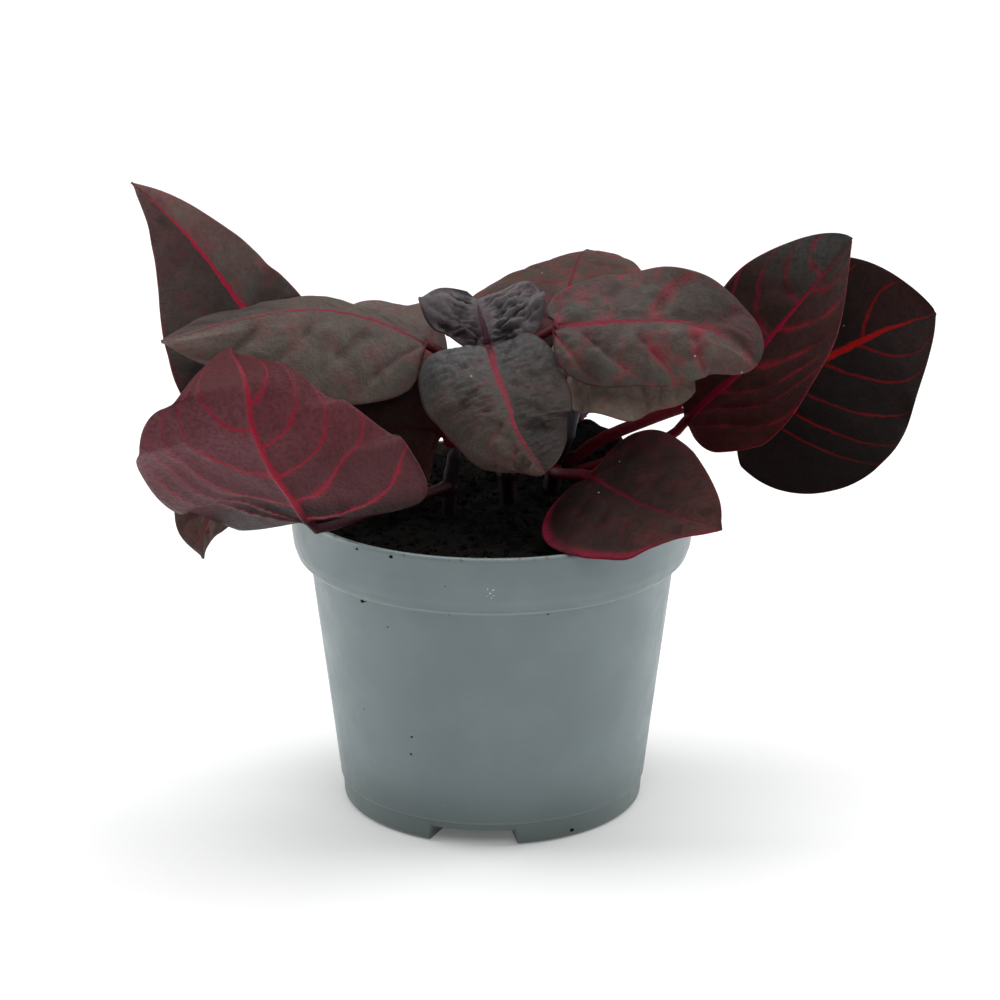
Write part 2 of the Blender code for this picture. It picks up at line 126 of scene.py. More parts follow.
studio = bpy.data.worlds.new("studio")
studio.use_nodes = True
feed(studio.node_tree.nodes["Background"], {"Color": (1, 1, 1, 1), "Strength": 0.22})
bpy.context.scene.world = studio


def soft_light(name, place, aim, width, height, watts):
    """A rectangular light of that size, whose own -Z axis points from its place to its aim."""
    data = bpy.data.lights.new(name, "AREA")
    data.shape = "RECTANGLE"
    data.size = width
    data.size_y = height
    data.energy = watts
    lamp = bpy.data.objects.new(name, data)
    x, y, z = (a - p for a, p in zip(aim, place))
    lamp.location = place
    lamp.rotation_euler = (math.atan2(math.hypot(x, y), -z), 0, math.atan2(-x, y) if x or y else 0)
    bpy.context.scene.collection.objects.link(lamp)


soft_light("light_above", (0, 0.25, 1.5), (0, 0, 0.1), 1.3, 1.3, 17)
soft_light("light_front", (0.25, -1.1, 1.3), (0, 0, 0.1), 1.2, 0.8, 6)
soft_light("light_left", (-1.1, 0.30, 0.45), (0, 0, 0.08), 0.8, 1.0, 10)
soft_light("light_right", (1.1, 0.30, 0.45), (0, 0, 0.08), 0.8, 1.0, 10)


# Pot
# A nursery pot of thin polypropylene, injection moulded in one piece and coloured cool grey all through. A
# deep collar stiffens its rim, a fine step marks the foot, and three raised channels with drain holes cross
# its base.

RIM_RADIUS = 0.0525
POT_HEIGHT = 0.082
COLLAR_HEIGHT = 0.017
BODY_TOP_RADIUS = 0.0475
BASE_RADIUS = 0.0395
WALL = 0.0013
FOOT_HEIGHT = 0.006
CHANNEL_COUNT = 3
CHANNEL_RISE = 0.0037
CHANNEL_HALF_ANGLE = math.radians(16.5)
CHANNEL_SIDE_ANGLE = math.radians(0.7)
CHANNEL_INNER_RADIUS = 0.014
FRONT_CHANNEL_ANGLE = math.radians(-97.5)
DRAIN_RADIUS = 0.004
DRAIN_DISTANCE = 0.027


def screen(red, green, blue):
    """The linear colour of a shade that a screen shows with these values from 0 to 255."""
    shade = np.array([red, green, blue]) / 255
    linear = np.where(shade <= 0.04045, shade / 12.92, ((shade + 0.055) / 1.055) ** 2.4)
    return (*(float(c) for c in linear), 1.0)


def calc(operation, *values):
    """One step of arithmetic on sockets or numbers."""
    return wire("ShaderNodeMath", dict(enumerate(values)), operation=operation).outputs[0]


def ramp(value, low, high, at_low=0.0, at_high=1.0):
    """Runs smoothly from at_low to at_high as the value goes from low to high, and is level beyond them."""
    inputs = {"Value": value, "From Min": low, "From Max": high, "To Min": at_low, "To Max": at_high}
    return wire("ShaderNodeMapRange", inputs, interpolation_type="SMOOTHSTEP").outputs[0]


def times(first, second):
    """The product of two sockets or numbers."""
    return calc("MULTIPLY", first, second)


def tint(share, first, second, blend="MIX"):
    """The first colour where the share is 0 and the second where it is 1, or their product there."""
    inputs = {0: share, 6: first, 7: second}
    return wire("ShaderNodeMix", inputs, data_type="RGBA", blend_type=blend).outputs[2]


def painted(colour, coats):
    """The colour after coats have gone on in turn, each given as the share it covers and its own colour."""
    for share, coat in coats:
        colour = tint(share, colour, coat)
    return colour


def clouds(coordinates, per_unit, detail=2.0, roughness=0.5):
    """Smooth noise from 0 to 1, with this many cells to a unit of length."""
    inputs = {"Vector": coordinates, "Scale": per_unit, "Detail": detail, "Roughness": roughness}
    return wire("ShaderNodeTexNoise", inputs).outputs[0]


def flecks(coordinates, per_unit, radius, share):
    """1 inside round flecks of that radius, in cells, and only in that share of the cells, at random."""
    cells = wire("ShaderNodeTexVoronoi", {"Vector": coordinates, "Scale": per_unit})
    pick = wire("ShaderNodeSeparateColor", {0: cells.outputs["Color"]}).outputs[0]
    fleck = ramp(cells.outputs["Distance"], radius * 0.6, radius, 1.0, 0.0)
    return times(fleck, calc("LESS_THAN", pick, share))


def raised(height, strength, distance):
    """The normal of a skin whose finest relief is that height, from 0 to 1, over that distance."""
    inputs = {"Height": height, "Strength": strength, "Distance": distance}
    return wire("ShaderNodeBump", inputs).outputs[0]


def add_piece(name, points, faces, material, sharp_degrees=180):
    """A piece with smooth shading, its edges sharp where they bend by more than that."""
    mesh = bpy.data.meshes.new(name)
    mesh.from_pydata(points.tolist(), [], faces)
    mesh.materials.append(material)
    mesh.shade_smooth()
    mesh.set_sharp_from_angle(angle=math.radians(sharp_degrees))
    piece = bpy.data.objects.new(name, mesh)
    bpy.context.scene.collection.objects.link(piece)
    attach(piece, "root")
    return piece


def ring_faces(rows, sides):
    """Quads between one ring of points and the next, each ring in the order of the last."""
    row, side = np.meshgrid(np.arange(rows - 1), np.arange(sides), indexing="ij")
    here = row * sides + side
    there = row * sides + (side + 1) % sides
    return np.stack([here, there, there + sides, here + sides], axis=-1).reshape(-1, 4)


def close_rings(rings, first_centre, last_centre):
    """Points and faces of a body through the rings, closed by fans to a point in each of its end rings."""
    rows, sides = rings.shape[:2]
    points = np.vstack([rings.reshape(-1, 3), first_centre, last_centre])
    side = np.arange(sides)
    after = (side + 1) % sides
    last = (rows - 1) * sides
    first_fan = np.stack([np.full(sides, rows * sides), after, side], axis=1)
    last_fan = np.stack([np.full(sides, rows * sides + 1), last + side, last + after], axis=1)
    return points, ring_faces(rows, sides).tolist() + first_fan.tolist() + last_fan.tolist()


def eased(profile, reach, steps=5):
    """The profile with each corner replaced by a parabola that starts and ends that far from the corner."""
    knots = np.asarray(profile, float)
    before, corner, after = knots[:-2], knots[1:-1], knots[2:]
    back = np.linalg.norm((before - corner)[:, :2], axis=1)
    on = np.linalg.norm((after - corner)[:, :2], axis=1)
    start = corner + (before - corner) * np.minimum(reach / back, 0.45)[:, None]
    end = corner + (after - corner) * np.minimum(reach / on, 0.45)[:, None]
    t = np.linspace(0, 1, steps)[None, :, None]
    curves = start[:, None] * (1 - t) ** 2 + corner[:, None] * 2 * t * (1 - t) + end[:, None] * t**2
    return np.vstack([knots[:1], curves.reshape(-1, knots.shape[1]), knots[-1:]])


def round_angles():
    """Angles round the pot, close together at the channels' sides, and the share of their rise at each."""
    pitch = 2 * math.pi / CHANNEL_COUNT
    coarse = np.linspace(-pitch / 2, pitch / 2, 72, endpoint=False)
    fine = np.concatenate([side * CHANNEL_HALF_ANGLE + np.linspace(-1.6, 1.6, 9) * CHANNEL_SIDE_ANGLE
                           for side in (-1, 1)])
    one_pitch = np.unique(np.concatenate([coarse, fine]))
    edge = (CHANNEL_HALF_ANGLE - np.abs(one_pitch)) / CHANNEL_SIDE_ANGLE
    share = np.clip(0.5 + 0.5 * edge, 0, 1)
    share = share * share * (3 - 2 * share)
    angles = np.concatenate([FRONT_CHANNEL_ANGLE + k * pitch + one_pitch for k in range(CHANNEL_COUNT)])
    return angles, np.tile(share, CHANNEL_COUNT)


def body_radius(z):
    """Radius of the pot's outer wall between the foot and the collar."""
    return BASE_RADIUS + (BODY_TOP_RADIUS - BASE_RADIUS) * z / (POT_HEIGHT - COLLAR_HEIGHT)


def profile_rings(profile):
    """One ring of points for each radius, height and share of the rise, which lifts it over the channels."""
    angles, over_channel = round_angles()
    radius, height, share = np.asarray(profile).T[:, :, None]
    lift = CHANNEL_RISE * over_channel
    return np.stack([radius * np.cos(angles), radius * np.sin(angles), height + share * lift], axis=2)


crease = POT_HEIGHT - COLLAR_HEIGHT
inner_lip = RIM_RADIUS - WALL
pot_profile = [
    (0.006, 0, 0), (CHANNEL_INNER_RADIUS - 0.002, 0, 0), (CHANNEL_INNER_RADIUS, 0, 1),
    (BASE_RADIUS - 0.0008, 0, 1), (BASE_RADIUS, 0.0008, 1),
    (body_radius(FOOT_HEIGHT) - 0.00035, FOOT_HEIGHT, 0),
    (body_radius(FOOT_HEIGHT) + 0.0001, FOOT_HEIGHT + 0.0003, 0), (body_radius(0.020), 0.020, 0),
    (body_radius(0.042), 0.042, 0), (BODY_TOP_RADIUS, crease, 0), (RIM_RADIUS - 0.0034, crease + 0.0013, 0),
    (RIM_RADIUS - 0.0016, crease + 0.0029, 0), (RIM_RADIUS - 0.0006, crease + 0.0058, 0),
    (RIM_RADIUS - 0.0001, crease + 0.0100, 0), (RIM_RADIUS, POT_HEIGHT - 0.0007, 0),
    (RIM_RADIUS - 0.0005, POT_HEIGHT, 0), (inner_lip - 0.0003, POT_HEIGHT, 0),
    (inner_lip - 0.0008, crease + 0.0070, 0), (inner_lip - 0.0026, crease + 0.0034, 0),
    (BODY_TOP_RADIUS - WALL, crease + 0.0005, 0), (body_radius(FOOT_HEIGHT) - WALL - 0.0004, FOOT_HEIGHT, 0),
    (BASE_RADIUS - WALL - 0.0004, WALL, 1), (CHANNEL_INNER_RADIUS, WALL, 1),
    (CHANNEL_INNER_RADIUS - 0.002, WALL, 0), (0.006, WALL, 0),
]

pot_plastic, shader, spot = new_material("pot_plastic_grey")
across, deep, height = wire("ShaderNodeSeparateXYZ", {0: spot}).outputs
from_axis = calc("SQRT", calc("ADD", times(across, across), times(deep, deep)))
# Watered soil leaves a brown film on the lip's inner face and a little grit along its top. Towards the back
# the grit is laid thicker, which darkens the rim there
inside_lip = times(ramp(from_axis, inner_lip - 0.0001, inner_lip + 0.0003, 1.0, 0.0),
                   ramp(height, 0.066, 0.078))
film = times(inside_lip, ramp(clouds(spot, 260, 4.0), 0.3, 0.6, 0.35, 1.0))
on_top = ramp(height, POT_HEIGHT - 0.0012, POT_HEIGHT - 0.0002)
grit_thicker_behind = calc("ADD", clouds(spot, 700, 3.0), ramp(deep, 0.030, 0.048, 0.0, 0.22))
# Patchy painted shade darkens the foot
foot_shade_patches = times(ramp(height, 0.0, 0.010, 1.0, 0.0), ramp(clouds(spot, 180, 5.0, 0.65), 0.5, 0.72))
coats = [(ramp(clouds(spot, 45, 4.0, 0.6), 0.35, 0.7), screen(111, 124, 126))]
# Thin painted highlights along the edge under the collar and along the step over the foot
for highlight_line in (crease + 0.0016, FOOT_HEIGHT + 0.0003):
    off_highlight_line = calc("ABSOLUTE", calc("SUBTRACT", height, highlight_line))
    coats.append((ramp(off_highlight_line, 0.0001, 0.0005, 0.5, 0.0), screen(156, 168, 166)))
coats += [
    # Painted shade: the body darker towards the bottom
    (ramp(height, 0.0, 0.022, 0.75, 0.0), screen(72, 83, 81)),
    (film, screen(78, 66, 52)),
    (times(on_top, ramp(grit_thicker_behind, 0.56, 0.66)), screen(96, 84, 58)),
    (times(flecks(spot, 170, 0.055, 0.10), 0.8), screen(40, 36, 32)),
    (times(flecks(spot, 330, 0.07, 0.06), 0.5), screen(190, 200, 198)),
    (times(foot_shade_patches, 0.45), screen(84, 84, 76)),
]
dullness = ramp(clouds(spot, 120, 5.0, 0.7), 0.3, 0.75, 0.34, 0.5)
feed(shader, {"Base Color": painted(screen(105, 118, 121), coats), "Roughness": dullness,
              "Normal": raised(clouds(spot, 1600, 2.0), 0.25, 0.00006)})

pot = add_piece("pot_shell", *close_rings(profile_rings(eased(pot_profile, 0.0005)), (0, 0, 0), (0, 0, WALL)),
                pot_plastic, 40)
for k in range(CHANNEL_COUNT):
    angle = FRONT_CHANNEL_ANGLE + k * 2 * math.pi / CHANNEL_COUNT
    around = np.linspace(0, 2 * math.pi, 40, endpoint=False)
    ring = np.stack([DRAIN_DISTANCE * math.cos(angle) + DRAIN_RADIUS * np.cos(around),
                     DRAIN_DISTANCE * math.sin(angle) + DRAIN_RADIUS * np.sin(around), 0 * around], axis=1)
    drill_rings = np.stack([ring + (0, 0, CHANNEL_RISE - 0.006), ring + (0, 0, CHANNEL_RISE + 0.006)])
    centres = drill_rings.mean(axis=1)
    drill = add_piece(f"drain_drill_{k}", *close_rings(drill_rings, *centres), pot_plastic)
    bore = pot.modifiers.new(f"drain_{k}", "BOOLEAN")
    bore.solver = "EXACT"
    bore.object = drill
bored = bpy.data.meshes.new_from_object(pot.evaluated_get(bpy.context.evaluated_depsgraph_get()))
pot.modifiers.clear()
pot.data = bored
for k in range(CHANNEL_COUNT):
    bpy.data.objects.remove(bpy.data.objects[f"drain_drill_{k}"])
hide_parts("pot")


# Soil
# Peat potting mix, pressed into the pot by machine and settled by watering. Its face is crumbly, lies a
# little under the rim in front and is heaped at the back right. Loose crumbs lie on it.

GAP = 0.0003
SOIL_FRONT_Z = 0.0785
SOIL_MOUND_RISE = 0.0115
SOIL_MOUND_CENTRE = (0.026, 0.042)
SOIL_MOUND_SPREAD = 0.020
CRUMB_COUNT = 900
LUMP_CELLS = 64


def lumps(x, y, cell, seed):
    """Random heights from -1 to 1 on a square grid of cells, blended between its corners by a smoothstep."""
    heights = np.random.default_rng(seed).uniform(-1, 1, (LUMP_CELLS, LUMP_CELLS))
    u, v = x / cell, y / cell
    i, j = np.floor(u).astype(int), np.floor(v).astype(int)
    s, t = u - i, v - j
    s, t = s * s * (3 - 2 * s), t * t * (3 - 2 * t)
    i, j, right, up = (index % LUMP_CELLS for index in (i, j, i + 1, j + 1))
    low = heights[i, j] * (1 - s) + heights[right, j] * s
    high = heights[i, up] * (1 - s) + heights[right, up] * s
    return low * (1 - t) + high * t


def soil_height(x, y):
    """Nearly level with the rim in front, heaped at the back right, and crumbly at three sizes."""
    away = np.hypot(x - SOIL_MOUND_CENTRE[0], y - SOIL_MOUND_CENTRE[1])
    heap = SOIL_MOUND_RISE * np.exp(-((away / SOIL_MOUND_SPREAD) ** 2))
    swell = 0.0006 * np.sin(310 * x + 1) * np.sin(270 * y) + 0.0004 * np.sin(520 * x - 430 * y)
    crumble = 0.0006 * lumps(x, y, 0.0031, 3) + 0.0004 * lumps(x, y, 0.0015, 4)
    crumble = crumble + 0.00025 * lumps(x, y, 0.0008, 5)
    return SOIL_FRONT_Z + heap + swell + crumble


peat, shader, spot = new_material("potting_soil_peat")
damp = ramp(clouds(spot, 420, 5.0, 0.7), 0.4, 0.7)
dark = tint(damp, screen(8, 7, 6), screen(17, 15, 14))
dark = tint(flecks(spot, 420, 0.22, 0.04), dark, screen(30, 25, 20))
feed(shader, {"Base Color": dark, "Roughness": 0.95, "Specular IOR Level": 0.06,
              "Normal": raised(clouds(spot, 900, 4.0, 0.7), 0.7, 0.0004)})

soil_wall = WALL + GAP
collar_inside = RIM_RADIUS - soil_wall - 0.0009
soil_side = [
    (CHANNEL_INNER_RADIUS - 0.0025, soil_wall, 0), (CHANNEL_INNER_RADIUS - 0.0005, soil_wall, 1),
    (BASE_RADIUS - soil_wall - 0.0004, soil_wall, 1),
    (body_radius(FOOT_HEIGHT) - soil_wall - 0.0005, FOOT_HEIGHT + 0.001, 0),
    (BODY_TOP_RADIUS - soil_wall - 0.0002, crease + 0.0010, 0), (collar_inside - 0.0022, crease + 0.0045, 0),
    (collar_inside, crease + 0.0085, 0),
]
soil_angles, _ = round_angles()
soil_radius = collar_inside * np.linspace(1, 0.01, 90)[:, None] ** 0.8
soil_x, soil_y = soil_radius * np.cos(soil_angles), soil_radius * np.sin(soil_angles)
soil_top = np.stack([soil_x, soil_y, np.maximum(soil_height(soil_x, soil_y), crease + 0.0095)], axis=2)
soil_rings = np.concatenate([profile_rings(soil_side), soil_top])
soil = add_piece("soil_bed", *close_rings(soil_rings, (0, 0, soil_wall), soil_top[-1].mean(axis=0)), peat, 60)
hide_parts("soil")


def scatter(name, points, matter):
    """Many balls as one piece of dirt, a row of points for each, with the same faces on every ball."""
    faces = [[k * len(ball) + corner for corner in face] for k in range(len(points)) for face in ball_faces]
    add_piece(name, points.reshape(-1, 3), faces, matter, 30)


# Each crumb is a ball of 8 sides and 3 rings, with every corner pushed in or out
chance = np.random.default_rng(11)
crumb_distance = (collar_inside - 0.001) * np.sqrt(chance.uniform(0, 1, CRUMB_COUNT))
crumb_angle = chance.uniform(0, 2 * math.pi, CRUMB_COUNT)
crumb_x, crumb_y = crumb_distance * np.cos(crumb_angle), crumb_distance * np.sin(crumb_angle)
crumb_size = 0.0003 + 0.0009 * chance.uniform(0, 1, CRUMB_COUNT) ** 3
belt = np.linspace(0, 2 * math.pi, 8, endpoint=False)
tilt = np.radians([-50, 0, 50])[:, None]
belts = np.stack([np.cos(tilt) * np.cos(belt), np.cos(tilt) * np.sin(belt), np.sin(tilt) + 0 * belt], axis=2)
ball, ball_faces = close_rings(belts, (0, 0, -1), (0, 0, 1))
push = chance.uniform(0.65, 1.25, (CRUMB_COUNT, len(ball), 1)) * chance.uniform(0.6, 1.3, (CRUMB_COUNT, 1, 3))
crumb_middle = np.stack([crumb_x, crumb_y, soil_height(crumb_x, crumb_y) + 0.3 * crumb_size], axis=1)
crumb_points = crumb_middle[:, None] + crumb_size[:, None, None] * ball * push
scatter("soil_crumbs", crumb_points, peat)


# Grains on the pot
# What watering and handling have left on the pot's outside, dried on: crumbs of peat, a splash of lime on the
# collar and bits of straw along the rim. Most are under a millimetre across.

# Degrees round the pot, then radius, height and size in millimetres
DARK_GRAINS = [(-147.2, 52.5, 81.1, 0.70), (-130.1, 52.5, 80.7, 0.70), (-118.6, 52.5, 80.6, 0.90),
               (-133.4, 47.7, 65.0, 1.10), (-132.0, 47.8, 65.3, 0.65), (-102.9, 48.3, 65.7, 0.40),
               (-73.3, 48.2, 65.6, 0.60), (-118.4, 43.2, 29.4, 0.60), (-119.3, 42.5, 24.4, 0.60),
               (-58.7, 39.5, 2.0, 1.30), (-124.2, 46.9, 59.5, 0.35), (-139.2, 43.6, 33.4, 0.40)]
PALE_GRAINS = [(-91.3, 52.3, 74.3, 0.28), (-89.8, 52.3, 74.0, 0.35), (-90.6, 52.3, 73.2, 0.40),
               (-89.6, 52.3, 72.6, 0.22), (-91.5, 52.3, 72.4, 0.20), (-90.2, 52.3, 72.0, 0.25),
               (-98.5, 51.6, 82.0, 0.35), (-96.4, 51.5, 82.0, 0.45), (-94.0, 51.6, 82.0, 0.30),
               (-91.8, 51.4, 82.0, 0.50), (-89.9, 51.6, 82.0, 0.35), (-86.0, 51.5, 82.0, 0.40),
               (-82.4, 51.5, 82.0, 0.30), (-63.1, 52.4, 80.0, 0.45)]

LIME_TOP = 0.078

straw, shader, spot = new_material("pot_grains_pale")
height = wire("ShaderNodeSeparateXYZ", {0: spot}).outputs[2]
mix = tint(clouds(spot, 1500, 2.0), screen(92, 84, 46), screen(140, 128, 88))
mix = tint(calc("LESS_THAN", height, LIME_TOP), mix, screen(222, 224, 220))
feed(shader, {"Base Color": mix, "Roughness": 0.9})

# Each grain is a crumb's ball, flattened against the pot
for title, grains, matter in (("dark", DARK_GRAINS, peat), ("pale", PALE_GRAINS, straw)):
    turn, from_axis_mm, height_mm, size_mm = np.array(grains).T
    outward = np.stack([np.cos(np.radians(turn)), np.sin(np.radians(turn)), 0 * turn], axis=1)[:, None]
    sideways = np.stack([-outward[..., 1], outward[..., 0], outward[..., 2]], axis=-1)
    upward = np.cross(outward, sideways)
    shape = ball * chance.uniform(0.7, 1.3, (len(grains), len(ball), 1))
    reach = 0.0005 * size_mm[:, None, None]
    seat = 0.001 * (from_axis_mm[:, None, None] * outward + height_mm[:, None, None] * upward)
    points = seat + reach * (1.3 * shape[..., :1] * sideways + 0.5 * shape[..., 1:2] * outward
                             + 0.8 * shape[..., 2:] * upward)
    scatter(f"pot_grains_{title}", points, matter)


# Stems
# Three short, juicy shoots, dark purple at the foot, darkened further there with painted shade, and bluish
# with bloom higher up. Each swells a little into a ring where it bears a pair of leaves.

STEMS = {
    "stem_centre": [
        (0.005, 0.004, 0.058, 0.0022), (0.004, 0.003, 0.085, 0.0024), (0.002, 0.002, 0.1, 0.002),
        (0.0, 0.0, 0.112, 0.0018), (-0.001, -0.001, 0.118, 0.0013), (-0.001, -0.001, 0.121, 0.0005),
    ],
    "stem_right": [
        (0.014, 0.013, 0.058, 0.002), (0.016, 0.012, 0.083, 0.0023), (0.019, 0.01, 0.094, 0.0021),
        (0.022, 0.01, 0.105, 0.0019), (0.024, 0.011, 0.113, 0.0012), (0.024, 0.011, 0.116, 0.0005),
    ],
    "stem_left": [
        (-0.011, -0.006, 0.06, 0.0018), (-0.011, -0.006, 0.084, 0.002), (-0.01, -0.006, 0.093, 0.0017),
        (-0.009, -0.006, 0.098, 0.0011), (-0.009, -0.006, 0.101, 0.0005),
    ],
}
STEM_NODES = {"stem_centre": (0.087, 0.095, 0.1135), "stem_right": (0.0865, 0.0955, 0.1055),
              "stem_left": (0.086, 0.0945)}


def unit(vectors):
    """The vectors over their lengths."""
    return vectors / np.linalg.norm(vectors, axis=-1, keepdims=True)


def smooth_path(points, samples_per_span=24):
    """Catmull-Rom curve through the points: its samples, their arc lengths, and the length at each point.

    Between points b and c, with a before and d after, it is half of 2b + (c - a)t + (2a - 5b + 4c - d)t^2 +
    (3b - a - 3c + d)t^3, for t from 0 to 1.
    """
    given = np.asarray(points, float)
    given = np.vstack([2 * given[0] - given[1], given, 2 * given[-1] - given[-2]])
    t = np.linspace(0, 1, samples_per_span, endpoint=False)[:, None]
    spans = [
        0.5 * (2 * b + (c - a) * t + (2 * a - 5 * b + 4 * c - d) * t**2 + (3 * b - a - 3 * c + d) * t**3)
        for a, b, c, d in zip(given[:-3], given[1:-2], given[2:-1], given[3:])
    ]
    curve = np.vstack([*spans, given[-2:-1]])
    steps = np.linalg.norm(np.diff(curve[:, :3], axis=0), axis=1)
    length = np.append(0, np.cumsum(steps))
    return curve, length, length[::samples_per_span]


def read_curve(places, length, curve):
    """Points of the curve at these arc lengths, by straight lines between its samples."""
    return np.stack([np.interp(places, length, column) for column in curve.T], axis=1)


def stem_tube(rows, nodes, sides=36, rings=130):
    """Rings of the smooth radius round the axis, with a low swelling at each node and six faint ridges."""
    curve, length, _ = smooth_path(rows)
    at = read_curve(np.linspace(0, length[-1], rings), length, curve)
    along = unit(np.gradient(at[:, :3], axis=0))
    across = unit(np.cross(along, (0, 1, 0)))
    beyond = np.cross(along, across)
    angle = np.linspace(0, 2 * math.pi, sides, endpoint=False)[None, :, None]
    swelling = sum(0.14 * np.exp(-(((at[:, 2] - node) / 0.0011) ** 2)) for node in nodes)
    radius = (at[:, 3] * (0.97 + swelling))[:, None, None] * (1 + 0.03 * np.cos(6 * angle))
    return at[:, None, :3] + radius * (across[:, None] * np.cos(angle) + beyond[:, None] * np.sin(angle))


stem_skin, shader, spot = new_material("stem_skin_bloom")
height = wire("ShaderNodeSeparateXYZ", {0: spot}).outputs[2]
drawn_out = wire("ShaderNodeMapping", {"Vector": spot, "Scale": (1, 1, 0.2)}).outputs[0]
streak = clouds(drawn_out, 900, 3.0)
# The purple of the foot is painted very dark, as shade near the soil
purple_and_shade = tint(ramp(streak, 0.35, 0.7), screen(20, 10, 14), screen(32, 15, 20))
bloom = tint(ramp(streak, 0.3, 0.7), screen(56, 58, 64), screen(78, 80, 86))
reach = calc("ADD", height, times(clouds(spot, 200, 3.0), 0.008))
feed(shader, {"Base Color": tint(ramp(reach, 0.097, 0.106), purple_and_shade, bloom), "Roughness": 0.45,
              "Specular IOR Level": 0.1, "Normal": raised(streak, 0.4, 0.0002)})

for name, rows in STEMS.items():
    rings = stem_tube(rows, STEM_NODES[name])
    ends = rings[0].mean(axis=0), rings[-1].mean(axis=0)
    stem = add_piece(name + "_skin", *close_rings(rings, *ends), stem_skin)
    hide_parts(name)


# Leaves of the tallest shoot
# Thick, rounded, pointed blades on short red stalks, in pairs up the shoot, with a wrinkled young leaf at its
# tip. A blade is puckered between arching side veins, and red pigment shows in the veins and underneath.

# Every length of a leaf is in millimetres, until add_leaf makes its mesh
LEAF_THICKNESS = 0.45
BLADE_ROWS = 116
STALK_ROWS = 12
HALF_COLUMNS = 30
SEAT_GAP = 0.6
SEAT_DEPTH = 0.4
# Share of the blade's length over which a lobe fans out from the stalk, and number of waves along a margin
LOBE_FAN = 0.034
MARGIN_WAVES = 2.2
# Cells of the puckers, the wrinkles and the margin's rise and fall, and the groove over the midrib
PUCKER_CELLS = (5.3, 2.9)
WRINKLE_CELLS = (2.6, 1.5)
MARGIN_CELL = 4.6
GROOVE_DEPTH = 0.25
GROOVE_HALF = 1.3
# Where the side veins of the left and right halves leave the midrib and meet the margin on most leaves
VEIN_STARTS = ((0.05, 0.2, 0.35, 0.51, 0.67, 0.82), (0.11, 0.27, 0.43, 0.59, 0.75, 0.88))
VEIN_ENDS = ((0.28, 0.45, 0.6, 0.74, 0.86, 0.95), (0.36, 0.52, 0.67, 0.8, 0.9, 0.97))


def stem_seat(stem, height, toward, stalk_radius):
    """The stalk's first two points: inside the stem's skin on the side it heads for, then a little on."""
    curve, _, _ = smooth_path(1000 * np.array(STEMS[stem]))
    x, y, radius = (np.interp(height, curve[:, 2], curve[:, k]) for k in (0, 1, 3))
    heading = np.append(unit(np.array([toward[0] - x, toward[1] - y])), 0)
    start = np.array([x, y, height]) + heading * (radius + SEAT_GAP)
    return [start - heading * (SEAT_GAP + SEAT_DEPTH), start + heading * stalk_radius]


def vein_number(along, across, starts, ends, bend):
    """Number of the side vein at each point, whole on a vein, and shares of the way between two of them.

    Vein k leaves the midrib at starts[k] of its length and runs along starts[k] + (ends[k] - starts[k]) *
    across ** bend, so it meets the margin at ends[k].
    """
    runs = [start + (end - start) * across**bend for start, end in zip(starts, ends)]
    number = np.clip((along - runs[0]) / 0.12, -0.5, 0)
    for here, there in zip(runs, [*runs[1:], runs[-1] + 0.3]):
        number = number + np.clip((along - here) / (there - here), 0, 1)
    return np.minimum(number, len(runs) - 0.5)


